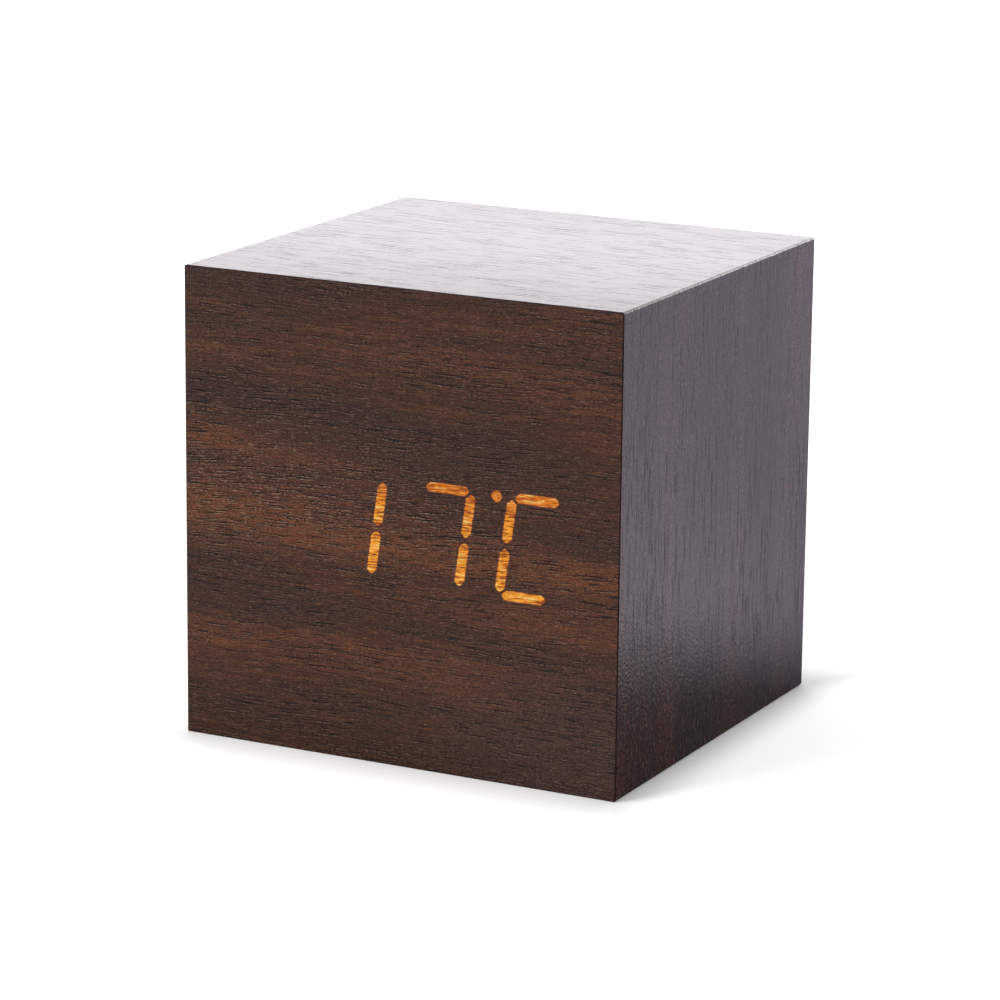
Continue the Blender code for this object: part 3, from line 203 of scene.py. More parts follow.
class Nodes:
    """Short calls that add the nodes of one material."""

    def __init__(self, name):
        self.material = bpy.data.materials.new(name)
        self.material.use_nodes = True
        self.tree = self.material.node_tree
        self.shader = self.tree.nodes["Principled BSDF"]

    def add(self, kind, **settings):
        node = self.tree.nodes.new(kind)
        for key, value in settings.items():
            setattr(node, key, value)
        return node

    def feed(self, socket, value):
        if isinstance(value, bpy.types.NodeSocket):
            self.tree.links.new(value, socket)
        elif isinstance(value, (tuple, list)) and len(value) == 3 and socket.type == "RGBA":
            socket.default_value = (*value, 1.0)
        else:
            socket.default_value = value

    def set(self, **inputs):
        """Set or link inputs of the shader. Base_Color stands for Base Color."""
        for key, value in inputs.items():
            self.feed(self.shader.inputs[key.replace("_", " ")], value)

    def math(self, operation, first, second=0.0, third=0.0):
        node = self.add("ShaderNodeMath", operation=operation)
        for socket, value in zip(node.inputs, (first, second, third)):
            self.feed(socket, value)
        return node.outputs[0]

    def plus(self, first, second):
        return self.math("ADD", first, second)

    def minus(self, first, second):
        return self.math("SUBTRACT", first, second)

    def times(self, first, second):
        return self.math("MULTIPLY", first, second)

    def times_plus(self, first, second, third):
        return self.math("MULTIPLY_ADD", first, second, third)

    def most(self, first, second):
        return self.math("MAXIMUM", first, second)

    def around(self, noise, swing, middle):
        """A noise of 0 to 1 as a swing about a middle value."""
        return self.times_plus(self.minus(noise, 0.5), swing, middle)

    def step(self, value, low, high):
        """0 below low, 1 above high, and a smooth rise between. Low above high falls instead."""
        node = self.add("ShaderNodeMapRange", interpolation_type="SMOOTHSTEP")
        self.feed(node.inputs["Value"], value)
        node.inputs["From Min"].default_value = low
        node.inputs["From Max"].default_value = high
        return node.outputs["Result"]

    def place(self):
        """The piece's own coordinates in millimetres, as three values."""
        coordinates = self.add("ShaderNodeTexCoord")
        scale = self.add("ShaderNodeVectorMath", operation="SCALE")
        self.feed(scale.inputs[0], coordinates.outputs["Object"])
        scale.inputs["Scale"].default_value = 1 / MM
        split = self.add("ShaderNodeSeparateXYZ")
        self.feed(split.inputs[0], scale.outputs[0])
        return split.outputs[0], split.outputs[1], split.outputs[2]

    def vector(self, x, y, z=0.0):
        node = self.add("ShaderNodeCombineXYZ")
        for socket, value in zip(node.inputs, (x, y, z)):
            self.feed(socket, value)
        return node.outputs[0]

    def noise(self, vector, scale=1.0, detail=2.0, roughness=0.5):
        node = self.add("ShaderNodeTexNoise")
        self.feed(node.inputs["Vector"], vector)
        node.inputs["Scale"].default_value = scale
        node.inputs["Detail"].default_value = detail
        node.inputs["Roughness"].default_value = roughness
        return node.outputs["Fac"]

    def grain(self, along, across, fineness, seed, detail=2.0, roughness=0.5):
        """Noise drawn out along the grain. fineness is its scale along and across, per millimetre."""
        place = self.vector(self.times(along, fineness[0]), self.times(across, fineness[1]), seed)
        return self.noise(place, detail=detail, roughness=roughness)

    def mix(self, share, first, second):
        node = self.add("ShaderNodeMix", data_type="RGBA")
        self.feed(node.inputs[0], share)
        self.feed(node.inputs[6], first)
        self.feed(node.inputs[7], second)
        return node.outputs[2]

    def scaled(self, colour, factor):
        node = self.add("ShaderNodeVectorMath", operation="SCALE")
        self.feed(node.inputs[0], colour)
        self.feed(node.inputs["Scale"], factor)
        return node.outputs[0]

    def ramp(self, value, stops):
        node = self.add("ShaderNodeValToRGB")
        self.feed(node.inputs[0], value)
        while len(node.color_ramp.elements) < len(stops):
            node.color_ramp.elements.new(0.5)
        for element, (place, colour) in zip(node.color_ramp.elements, stops):
            element.position = place
            element.color = (*colour, 1.0)
        return node.outputs[0]

    def bump(self, height, depth):
        """Relief of a height from 0 to 1, depth millimetres deep."""
        node = self.add("ShaderNodeBump")
        node.inputs["Strength"].default_value = 1.0
        node.inputs["Distance"].default_value = depth * MM
        self.feed(node.inputs["Height"], height)
        return node.outputs[0]


# Pores: the cell that each sits in, its half length and its half width, from least to most
LONG_PORE = ((7.4, 0.46), (1.1, 3.3), (0.048, 0.088))
SHORT_PORE = ((3.4, 0.34), (0.5, 1.5), (0.038, 0.075))
HAIR = ((9.0, 0.30), (1.2, 4.0), (0.028, 0.05))
PORE_EDGE = (1.15, 0.25)
LIP_SHIFT = 1.9


def pores(nodes, along, across, sizes, density):
    """Short dashes along the grain, and the lip under each one, where a highlight is painted, as two masks.
    """
    (cell_length, cell_width), lengths, widths = sizes
    scaled = nodes.vector(nodes.times(along, 1 / cell_length), nodes.times(across, 1 / cell_width))
    cells = nodes.add("ShaderNodeTexVoronoi", voronoi_dimensions="2D", feature="F1")
    nodes.feed(cells.inputs["Vector"], scaled)
    cells.inputs["Scale"].default_value = 1.0
    middle = nodes.add("ShaderNodeSeparateXYZ")
    nodes.feed(middle.inputs[0], cells.outputs["Position"])
    random = nodes.add("ShaderNodeSeparateColor")
    nodes.feed(random.inputs[0], cells.outputs["Color"])
    run = nodes.minus(along, nodes.times(middle.outputs[0], cell_length))
    rise = nodes.minus(across, nodes.times(middle.outputs[1], cell_width))
    half_length = nodes.times_plus(random.outputs[0], lengths[1] - lengths[0], lengths[0])
    half_width = nodes.times_plus(random.outputs[1], widths[1] - widths[0], widths[0])
    shown = nodes.math("LESS_THAN", random.outputs[2], density)
    masks = []
    for shift in (0.0, LIP_SHIFT):
        over_length = nodes.math("POWER", nodes.math("DIVIDE", run, half_length), 2.0)
        lowered = nodes.times_plus(half_width, shift, rise)
        over_width = nodes.math("POWER", nodes.math("DIVIDE", lowered, half_width), 2.0)
        distance = nodes.plus(over_length, over_width)
        masks.append(nodes.times(nodes.step(distance, *PORE_EDGE), shown))
    return masks


def bands(nodes, along, across, table):
    """Soft bands along the grain, added up. Each has a height, slope, half width, strength, start and end."""
    total = 0.0
    for middle, slope, half_width, strength, start, end in table:
        level = nodes.times_plus(along, -slope, nodes.minus(across, middle))
        square = nodes.math("POWER", nodes.times(level, 1 / half_width), 2.0)
        bell = nodes.math("EXPONENT", nodes.times(square, -1.0))
        faded = nodes.times(bell, nodes.step(along, start, end))
        total = nodes.times_plus(faded, strength, total)
    return total


# Soft colour bands of the front: height, slope, half width, strength, where it starts, where it is full
FRONT_BANDS = (
    (30.6, -0.02, 3.8, 0.58, 26.0, -34.0),
    (29.0, -0.03, 2.4, 0.34, -30.0, 8.0),
    (38.8, -0.06, 2.4, 0.40, 4.0, -30.0),
    (54.6, -0.10, 2.4, 0.22, -24.0, 4.0),
    (14.2, 0.01, 3.4, 0.30, 40.0, -10.0),
    (22.0, -0.02, 2.4, 0.24, -20.0, 12.0),
    (45.4, -0.07, 1.6, -0.26, 40.0, -20.0),
    (34.0, -0.04, 1.4, -0.18, 2.0, 24.0),
    (19.0, 0.00, 1.8, -0.16, 30.0, -20.0),
    (60.6, -0.05, 2.0, -0.14, 10.0, -20.0),
    (3.4, 0.02, 3.0, -0.10, -10.0, 26.0),
    (31.0, -0.03, 7.0, 0.16, 8.0, 26.0),
)

# Bands of the same kind: where the grain rises, where raking light is painted on its pores, and where a grey
# painted reflection lies on the front
GRAIN_RISE = (34.0, 0.0, 12.0, -0.045, -60.0, -50.0)
RAKING_LIGHT = (33.5, -0.03, 8.0, 1.0, 34.0, -16.0)
# A painted reflection: the band where the floor's grey veil is laid on the front's lower right
PAINTED_REFLECTION_BAND = (2.0, 0.0, 14.0, 0.15, -6.0, 28.0)
GRAIN_SLOPE = 0.007

# Fineness of the film's noises along and across the grain, per millimetre
DRIFT = (0.028, 0.06)
WAVER = (0.30, 0.45)
BROAD = (0.014, 0.13)
STREAKS = (0.05, 1.4)
FIBRES = (0.40, 4.2)
CROWDS = (0.05, 0.16)
LIT_LINES = (0.55, 3.1)
LIT_FIBRES = (1.6, 6.0)

# Colours and gloss of the film. A speck is the fineness along and across, and the strength, of its flecks
CHARCOAL = (0.0290, 0.0140, 0.0094)
BROWN = (0.0575, 0.0220, 0.0112)
WARM = (0.140, 0.0455, 0.0165)
PORE = (0.002, 0.0015, 0.0018)
# A painted highlight: the pale colour laid on the lit lip under each pore, and on the glints
LIP_HIGHLIGHT = (0.34, 0.22, 0.15)
# A painted reflection: the grey of the floor's veil on the front's lower right
PAINTED_REFLECTION_GREY = (0.115, 0.090, 0.085)
FRONT_SPECK = (2.7, 6.6, 1.1)
FILM_SHEEN = 0.26
FILM_IOR = 1.31
FRONT_SHEEN = 0.12
FRONT_IOR = 1.30
SIDE_SHEEN = 0.08
SIDE_IOR = 1.55

# Light of the read-out: low and high on the front, on pale lines, on dark ones, and at the bars' edges
TOP_BARS = (33.0, 38.4)
AMBER = (0.90, 0.33, 0.014)
HIGH_AMBER = (0.74, 0.19, 0.002)
PALE_AMBER = (0.90, 0.62, 0.18)
DARK_AMBER = (0.88, 0.17, 0.008)
EDGE_AMBER = (0.70, 0.11, 0.012)


def front_level(nodes, along, across):
    """Height on the front, counted from grain line to grain line. The lines rise to the right midway up."""
    slope = nodes.plus(bands(nodes, along, across, (GRAIN_RISE,)), GRAIN_SLOPE)
    return nodes.times_plus(along, slope, across)


def walnut(name, grain, seed, tone=0.0, front=False, relief_depth=0.06, roughness=0.36, roughening=0.45,
           stretch=(1.0, 1.0), uneven=1.0, figure=1.0, crowding=1.0, speck=(3.6, 5.4, 1.0)):
    """Walnut film. grain names the axes along and across the grain: the front's is x and z.

    stretch widens the grain along and across, and uneven is the share of its soft waviness. figure is
    the strength of its broad streaks, crowding the share of its pores, and roughening how dull they are.
    """
    nodes = Nodes(name)
    place = dict(zip("xyz", nodes.place()))
    along = nodes.times(place[grain[0]], 1 / stretch[0])
    across = nodes.times(place[grain[1]], 1 / stretch[1])
    level = front_level(nodes, along, across) if front else across
    drift = nodes.grain(along, across, DRIFT, seed, 1.0)
    waver = nodes.grain(along, across, WAVER, seed + 3)
    bent = nodes.around(drift, 3.0 * uneven, level)
    bent = nodes.around(waver, 0.28 * uneven, bent)

    broad = nodes.grain(along, bent, BROAD, seed, 3.0)
    streaks = nodes.grain(along, bent, STREAKS, seed, 5.0, 0.62)
    fibres = nodes.grain(along, bent, FIBRES, seed, 4.0, 0.65)
    speckle = nodes.grain(along, bent, speck[:2], seed, 1.0)
    if front:
        warmth = nodes.around(broad, 0.45, 0.46 + tone)
        warmth = nodes.plus(warmth, bands(nodes, along, across, FRONT_BANDS))
    else:
        warmth = nodes.around(broad, 1.3 * figure, 0.45 + tone)
    warmth = nodes.around(streaks, 1.25 * uneven, warmth)
    colour = nodes.ramp(warmth, ((0.0, CHARCOAL), (0.46, BROWN), (1.0, WARM)))
    value = nodes.around(fibres, 2.5 * uneven, 1.0)
    value = nodes.around(speckle, 2.8 * speck[2], value)
    if front:
        # Painted reflection: the front's lower right turns greyer, as the floor's veil
        colour = nodes.mix(bands(nodes, along, across, (PAINTED_REFLECTION_BAND,)), colour, PAINTED_REFLECTION_GREY)
    colour = nodes.scaled(colour, nodes.most(value, 0.25))

    crowd = nodes.grain(along, across, CROWDS, seed + 7)
    clumps = min(figure, 1.0)
    density = nodes.times_plus(nodes.step(crowd, 0.30, 0.66), clumps * crowding,
                               0.5 * (1 - clumps) * crowding)
    if front:
        # Painted raking light: in this band more pores show, and their painted highlights are brighter
        raking = bands(nodes, along, across, (RAKING_LIGHT,))
        density = nodes.plus(nodes.times(density, 0.75), nodes.times(raking, 0.42))
    ragged = nodes.around(fibres, 0.20, bent)
    long_pore, long_lip = pores(nodes, along, ragged, LONG_PORE, density)
    short_pore, short_lip = pores(nodes, nodes.plus(along, 11.3), nodes.plus(ragged, 5.7), SHORT_PORE,
                                  nodes.times(density, 1.1))
    hair, hair_lip = pores(nodes, nodes.plus(along, 4.1), nodes.plus(ragged, 3.3), HAIR,
                           nodes.plus(nodes.times(density, 0.4), 0.45 * crowding))
    pore = nodes.most(long_pore, nodes.times(short_pore, 0.9))
    pore = nodes.most(pore, nodes.times(hair, 0.6))
    lip = nodes.most(nodes.times(long_lip, 0.8), nodes.times(short_lip, 0.6))
    lip = nodes.most(lip, nodes.times(hair_lip, 0.6))
    lip = nodes.times(lip, nodes.step(speckle, 0.44, 0.58))
    # Painted highlights: pale glints, and pale lips under the pores where light would catch them
    glint = nodes.grain(along, bent, (0.3 * speck[0], 1.1 * speck[1]), seed + 5, 1.0)
    glint = nodes.times(nodes.step(glint, 0.62, 0.76), 0.50 * min(speck[2], 1.1))
    painted_highlight = nodes.most(nodes.times(lip, 0.55), glint)
    if front:
        painted_highlight = nodes.times(painted_highlight, nodes.times_plus(raking, 1.3, 0.8))
    colour = nodes.mix(painted_highlight, colour, LIP_HIGHLIGHT)
    colour = nodes.mix(nodes.times(pore, 0.94), colour, PORE)

    relief = nodes.times_plus(streaks, 0.12 * uneven, nodes.times(fibres, 0.30 * uneven))
    relief = nodes.times_plus(speckle, 0.40 * speck[2], relief)
    relief = nodes.times_plus(pore, -0.85, nodes.times_plus(lip, 0.35, relief))
    shine = nodes.times_plus(fibres, 0.06 * uneven, roughness)
    shine = nodes.times_plus(lip, -0.08, nodes.times_plus(pore, roughening, shine))
    nodes.set(Base_Color=colour, Roughness=shine, Normal=nodes.bump(relief, relief_depth))
    return nodes, pore, fibres


def add_gloss(nodes, sheen, ior):
    """The film's satin shine: weak face on, strong at a grazing angle, and a touch cool."""
    nodes.shader.inputs["IOR"].default_value = ior
    nodes.shader.inputs["Sheen Weight"].default_value = sheen
    nodes.shader.inputs["Sheen Roughness"].default_value = 0.32
    nodes.shader.inputs["Sheen Tint"].default_value = (0.96, 0.82, 1.0, 1.0)


def case_film(name, grain, seed, sheen=FILM_SHEEN, ior=FILM_IOR, **options):
    nodes = walnut(name, grain, seed, **options)[0]
    add_gloss(nodes, sheen, ior)
    return nodes.material


def lit_film():
    """The front's film where the read-out shines through it. Its pores and streaks shade the light."""
    nodes, pore, fibres = walnut("walnut_lit", "xz", 0.0, front=True, speck=FRONT_SPECK)
    add_gloss(nodes, FRONT_SHEEN, FRONT_IOR)
    x, _, z = nodes.place()
    glow = nodes.add("ShaderNodeAttribute", attribute_name="glow").outputs["Fac"]
    edge = nodes.step(nodes.around(fibres, 1.1, glow), 0.22, 0.82)
    level = front_level(nodes, x, z)
    lines = nodes.grain(x, level, LIT_LINES, 4.2, 3.0, 0.6)
    fine = nodes.grain(x, level, LIT_FIBRES, 8.4)
    dark = nodes.times_plus(nodes.step(lines, 0.37, 0.50), 0.60, 0.40)
    shade = nodes.times(dark, nodes.times_plus(nodes.step(fine, 0.35, 0.6), 0.3, 0.7))
    shade = nodes.times(shade, nodes.times_plus(pore, -0.5, 1.0))
    light = nodes.mix(nodes.step(z, *TOP_BARS), AMBER, HIGH_AMBER)
    light = nodes.mix(nodes.step(lines, 0.54, 0.66), light, PALE_AMBER)
    light = nodes.mix(nodes.step(shade, 0.80, 0.25), light, DARK_AMBER)
    light = nodes.mix(nodes.step(edge, 0.95, 0.35), light, EDGE_AMBER)
    unlit = nodes.shader.inputs["Base Color"].links[0].from_socket
    film = nodes.scaled(unlit, nodes.times_plus(edge, -0.85, 1.0))
    nodes.set(Base_Color=film, Emission_Color=light, Emission_Strength=nodes.times(edge, shade))
    return nodes.material


def cut_edge():
    """Dark-stained board where the film ends: mitres, seams and the rear rim."""
    nodes = Nodes("stained_edge")
    place = nodes.vector(*nodes.place())
    grain = nodes.noise(place, scale=2.2, detail=5.0, roughness=0.75)
    cloud = nodes.noise(place, scale=0.35, detail=3.0)
    colour = nodes.ramp(grain, ((0.30, (0.013, 0.005, 0.004)), (0.52, (0.029, 0.0105, 0.0075)),
                                (0.72, (0.058, 0.023, 0.015))))
    colour = nodes.scaled(colour, nodes.times_plus(cloud, 0.9, 0.55))
    nodes.set(Base_Color=colour, Roughness=nodes.times_plus(grain, 0.3, 0.55),
              Normal=nodes.bump(grain, 0.09))
    nodes.shader.inputs["Specular IOR Level"].default_value = 0.2
    return nodes.material


def moulded_plastic(name, dark, light, texture, roughness):
    """Moulded plastic with a fine eroded texture, and a slightly uneven shine."""
    nodes = Nodes(name)
    place = nodes.vector(*nodes.place())
    fine = nodes.noise(place, scale=texture, detail=3.0, roughness=0.6)
    cloud = nodes.noise(place, scale=0.12, detail=3.0)
    colour = nodes.mix(nodes.step(fine, 0.3, 0.7), dark, light)
    shine = nodes.times_plus(cloud, 0.16, roughness - 0.08)
    nodes.set(Base_Color=colour, Roughness=shine, Normal=nodes.bump(fine, 0.03))
    return nodes.material


def plated_steel():
    nodes = Nodes("plated_steel")
    place = nodes.vector(*nodes.place())
    fine = nodes.noise(place, scale=2.0, detail=5.0, roughness=0.7)
    scratch = nodes.noise(place, scale=0.7, detail=2.0)
    colour = nodes.mix(nodes.step(scratch, 0.35, 0.7), (0.42, 0.41, 0.39), (0.54, 0.53, 0.50))
    nodes.set(Base_Color=colour, Metallic=1.0, Roughness=nodes.times_plus(fine, 0.22, 0.18),
              Normal=nodes.bump(fine, 0.006))
    return nodes.material


def laminate():
    """Green board: solder mask over faint copper tracks, and a weave under it."""
    nodes = Nodes("green_laminate")
    x, _, z = nodes.place()
    weave = nodes.times(nodes.math("SINE", nodes.times(x, 9.0)), nodes.math("SINE", nodes.times(z, 9.0)))
    lanes = nodes.math("PINGPONG", z, 1.27)
    wander = nodes.grain(x, z, (0.2, 0.4), 2.0, 0.0)
    track = nodes.times(nodes.step(lanes, 0.98, 1.04), nodes.step(wander, 0.48, 0.50))
    colour = nodes.mix(nodes.times_plus(weave, 0.06, 0.10), (0.012, 0.105, 0.045), (0.03, 0.17, 0.08))
    colour = nodes.mix(nodes.times(track, 0.8), colour, (0.045, 0.22, 0.09))
    relief = nodes.times_plus(weave, 0.1, track)
    nodes.set(Base_Color=colour, Roughness=0.32, Normal=nodes.bump(relief, 0.03))
    return nodes.material


def fibreboard():
    nodes = Nodes("fibreboard")
    place = nodes.vector(*nodes.place())
    fibre = nodes.noise(place, scale=2.4, detail=6.0, roughness=0.75)
    cloud = nodes.noise(place, scale=0.3, detail=2.0)
    colour = nodes.ramp(fibre, ((0.30, (0.22, 0.135, 0.072)), (0.52, (0.40, 0.27, 0.155)),
                                (0.74, (0.56, 0.41, 0.26))))
    colour = nodes.mix(nodes.times(cloud, 0.3), colour, (0.30, 0.19, 0.10))
    nodes.set(Base_Color=colour, Roughness=0.88, Normal=nodes.bump(fibre, 0.09))
    return nodes.material


def cell_jacket():
    """A plain sleeve: dark green body, a copper-coloured band towards the nub, bare steel at both ends."""
    nodes = Nodes("cell_jacket")
    end = nodes.add("ShaderNodeAttribute", attribute_name="run").outputs["Fac"]
    place = nodes.vector(*nodes.place())
    fine = nodes.noise(place, scale=1.6, detail=4.0)
    body = nodes.mix(nodes.times(fine, 0.5), (0.030, 0.085, 0.060), (0.060, 0.125, 0.095))
    band = nodes.mix(nodes.times(fine, 0.5), (0.42, 0.20, 0.085), (0.50, 0.27, 0.13))
    colour = nodes.mix(nodes.step(end, 0.755, 0.757), body, band)
    bare = nodes.most(nodes.step(end, 0.974, 0.976), nodes.step(end, 0.006, 0.004))
    colour = nodes.mix(bare, colour, (0.60, 0.59, 0.56))
    nodes.set(Base_Color=colour, Metallic=nodes.most(bare, 0.25),
              Roughness=nodes.times_plus(fine, 0.15, 0.24), Normal=nodes.bump(fine, 0.01))
    return nodes.material


def soft_insulation(name, dark, light):
    nodes = Nodes(name)
    place = nodes.vector(*nodes.place())
    fine = nodes.noise(place, scale=2.2, detail=3.0)
    nodes.set(Base_Color=nodes.mix(fine, dark, light), Roughness=nodes.times_plus(fine, 0.2, 0.38),
              Normal=nodes.bump(fine, 0.02))
    return nodes.material


def ribbon():
    """Flat cable: parallel rounded wires side by side, a red one at the edge, and painted shade in the
    grooves between them.
    """
    nodes = Nodes("grey_ribbon")
    x = nodes.place()[0]
    wires = nodes.math("ABSOLUTE", nodes.math("SINE", nodes.times(x, math.pi)))
    # Painted shade: darker grey in the grooves between the wires
    colour = nodes.mix(nodes.step(wires, 0.1, 0.6), (0.16, 0.16, 0.165), (0.40, 0.40, 0.41))
    colour = nodes.mix(nodes.step(x, 3.5, 3.52), colour, (0.42, 0.04, 0.03))
    nodes.set(Base_Color=colour, Roughness=0.5, Normal=nodes.bump(wires, 0.25))
    return nodes.material


def bead():
    nodes = Nodes("blue_bead")
    fine = nodes.noise(nodes.vector(*nodes.place()), scale=1.2, detail=3.0)
    dipped = nodes.mix(fine, (0.035, 0.09, 0.25), (0.07, 0.15, 0.36))
    nodes.set(Base_Color=dipped, Roughness=nodes.times_plus(fine, 0.1, 0.2), Normal=nodes.bump(fine, 0.05))
    return nodes.material


def amber_pipe():
    nodes = Nodes("amber_pipe")
    fine = nodes.noise(nodes.vector(*nodes.place()), scale=1.5, detail=2.0)
    nodes.set(Base_Color=nodes.mix(fine, (0.80, 0.28, 0.04), (0.90, 0.40, 0.08)), Roughness=0.4,
              Emission_Color=(1.0, 0.33, 0.04), Emission_Strength=nodes.times_plus(fine, 0.4, 0.4))
    return nodes.material


def new_object(name, data):
    made = bpy.data.objects.new(name, data)
    bpy.context.scene.collection.objects.link(made)
    return made


def new_mesh(name, shape):
    mesh = bpy.data.meshes.new(name)
    shape.to_mesh(mesh)
    shape.free()
    return mesh


def piece(name, shape, body, materials, replaced=()):
    """Finish a bmesh as one piece of the clock, riding on a body."""
    bmesh.ops.recalc_face_normals(shape, faces=shape.faces)
    mesh = new_mesh(name, shape)
    made = new_object(name, mesh)
    for material in materials:
        mesh.materials.append(material)
    mesh.shade_smooth()
    mesh.set_sharp_from_angle(angle=SMOOTH_BELOW)
    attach(made, body)
    if replaced:
        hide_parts(*replaced)
    return made


def ring(shape, outline, y):
    return [shape.verts.new(point(x, y, z)) for x, z in outline]


def bridge(shape, first, second, slot=0):
    """Join two rings of as many points with a strip of faces."""
    faces = []
    for step in range(len(first)):
        after = (step + 1) % len(first)
        face = shape.faces.new((first[step], first[after], second[after], second[step]))
        face.material_index = slot
        faces.append(face)
    return faces


def cap(shape, loop, slot=0):
    shape.faces.new(loop).material_index = slot


def rounded(outline, radius, steps):
    """Round every corner of an outline off with an arc that touches both of its sides."""
    points = []
    for index, corner in enumerate(outline):
        corner = Vector(corner)
        before = Vector(outline[index - 1]) - corner
        after = Vector(outline[(index + 1) % len(outline)]) - corner
        angle = before.angle(after)
        reach = min(radius / math.tan(angle / 2), before.length * 0.49, after.length * 0.49)
        start = corner + before.normalized() * reach
        end = corner + after.normalized() * reach
        for step in range(steps + 1):
            share = step / steps
            first = start.lerp(corner, share)
            second = corner.lerp(end, share)
            points.append(tuple(first.lerp(second, share)))
    return points


def bar_outline(kind, clearance):
    length, width = ACROSS_BAR if kind == "across" else UP_BAR
    half = length / 2 + clearance
    side = width / 2 + clearance
    tip = BAR_TIP / 2
    shoulder = half - side + tip
    points = [(half, tip), (shoulder, side), (-shoulder, side), (-half, tip)]
    points += [(-x, -z) for x, z in points]
    if kind == "up":
        points = [(-z, x) for x, z in points]
    return rounded(points, BAR_CORNER, CORNER_STEPS)


def read_out_shapes():
    """A function of the clearance for each lit shape, which gives its outline on the front."""
    shapes = {}
    for name, (middle, kind, side_share, up_share) in LIT_BARS.items():
        side = middle + side_share * BAR_SIDE_OFFSET
        up = up_share * BAR_TOP_OFFSET

        def outline(clearance, kind=kind, side=side, up=up):
            return [(x + side + (z + up) * math.tan(DIGIT_SLANT), z + up + DISPLAY_HEIGHT)
                    for x, z in bar_outline(kind, clearance)]
        shapes[name] = outline

    def dot(clearance):
        side, up = DOT_PLACE
        radius = DOT_DIAMETER / 2 + clearance
        turns = [math.tau * step / DOT_SIDES for step in range(DOT_SIDES)]
        return [(side + up * math.tan(DIGIT_SLANT) + radius * math.cos(turn),
                 DISPLAY_HEIGHT + up + radius * math.sin(turn)) for turn in turns]
    shapes["lit_degree_dot"] = dot
    return shapes


def square(inset):
    side = SIDE - inset
    return [(-side, inset), (side, inset), (side, HEIGHT - inset), (-side, HEIGHT - inset)]


def front_film(film, edge, shapes):
    """The front's film, mitred behind its edges, with a window for each lit shape."""
    shape = bmesh.new()
    front = ring(shape, square(GLUE_LINE), FRONT)
    arris = ring(shape, square(SEAM), FRONT + GLUE_LINE - SEAM)
    back = ring(shape, square(2 * SEAM - GLUE_LINE + FILM), FRONT + FILM)
    bridge(shape, front, arris, 1)
    bridge(shape, arris, back, 1)
    cap(shape, front)
    cap(shape, back, 1)
    made = piece("front_veneer", shape, "case", (film, edge), ["front_film"])
    cutter = bmesh.new()
    for outline in shapes.values():
        near = ring(cutter, outline(WINDOW_CLEARANCE), FRONT - 1)
        far = ring(cutter, outline(WINDOW_CLEARANCE), FRONT + FILM + 1)
        bridge(cutter, near, far)
        cap(cutter, near)
        cap(cutter, far)
    cut(made, cutter)


def cut(made, cutter, operation="DIFFERENCE"):
    """Cut a bmesh out of a piece, or join it on, for good."""
    bmesh.ops.recalc_face_normals(cutter, faces=cutter.faces)
    helper = new_object("cutter", new_mesh("cutter", cutter))
    modifier = made.modifiers.new("cut", "BOOLEAN")
    modifier.operation = operation
    modifier.solver = "EXACT"
    modifier.object = helper
    bpy.context.view_layer.update()
    result = bpy.data.meshes.new_from_object(made.evaluated_get(bpy.context.evaluated_depsgraph_get()))
    made.modifiers.clear()
    made.data = result
    bpy.data.objects.remove(helper, do_unlink=True)
    result.set_sharp_from_angle(angle=SMOOTH_BELOW)


def lit_plates(film, pipe, shapes):
    """Each lit shape: a plate that fills its window in the film, and the light pipe behind it."""
    for name, outline in shapes.items():
        shape = bmesh.new()
        glow = shape.verts.layers.float.new("glow")
        outer = ring(shape, outline(WINDOW_CLEARANCE), FRONT)
        inner = ring(shape, outline(-GLOW_INSET), FRONT)
        for vert in inner:
            vert[glow] = 1.0
        bridge(shape, outer, inner)
        cap(shape, inner)
        behind = ring(shape, outline(WINDOW_CLEARANCE), FRONT + FILM)
        pipe_front = ring(shape, outline(0.0), FRONT + FILM)
        pipe_back = ring(shape, outline(0.0), PIPE_BACK)
        bridge(shape, outer, behind)
        bridge(shape, behind, pipe_front)
        bridge(shape, pipe_front, pipe_back, 1)
        cap(shape, pipe_back, 1)
        piece(f"{name}_glow", shape, "case", (film, pipe), [name])


def edges_between(shape, verts):
    return [edge for edge in shape.edges if all(vert in verts for vert in edge.verts)]


def case_panels(films, edge):
    """Four mitred boards, their film folded over each corner of the case in a small round."""
    frames = {
        "top_panel": (SIDE, lambda u, level: (u, HEIGHT - level)),
        "bottom_panel": (SIDE, lambda u, level: (-u, level)),
        "right_panel": (HEIGHT / 2, lambda u, level: (SIDE - level, HEIGHT / 2 - u)),
        "left_panel": (HEIGHT / 2, lambda u, level: (-SIDE + level, HEIGHT / 2 + u)),
    }
    for name, (half, seat) in frames.items():
        fold = []
        for step in range(FOLD_STEPS + 1):
            turn = math.radians(45.0) * (1 - step / FOLD_STEPS)
            fold.append((half - FOLD_RADIUS * (1 - math.sin(turn)), FOLD_RADIUS * (1 - math.cos(turn))))
        profile = fold + [(-u, level) for u, level in reversed(fold)]
        profile += [(-half + WALL, WALL), (half - WALL, WALL)]
        shape = bmesh.new()
        outline = [seat(u, level) for u, level in profile]
        front = [shape.verts.new(point(x, FRONT + GLUE_LINE + level, z))
                 for (x, z), (u, level) in zip(outline, profile)]
        back = ring(shape, outline, BACK)
        for face in bridge(shape, front, back)[2 * len(fold) - 1:]:
            face.material_index = 1
        cap(shape, front, 1)
        cap(shape, back, 1)
        folds = len(profile) - 2
        rounds = [(edges_between(shape, verts), size) for verts, size in
                  ((front[:folds], FRONT_EDGE_ROUND), (back[:folds], REAR_EDGE_ROUND),
                   (back[folds:], RIM_EDGE_ROUND))]
        for edges, size in rounds:
            bmesh.ops.bevel(shape, geom=edges, offset=size * MM, segments=3, profile=0.5, affect="EDGES")
        piece(f"{name}_board", shape, "case", (films[name], edge), [name])


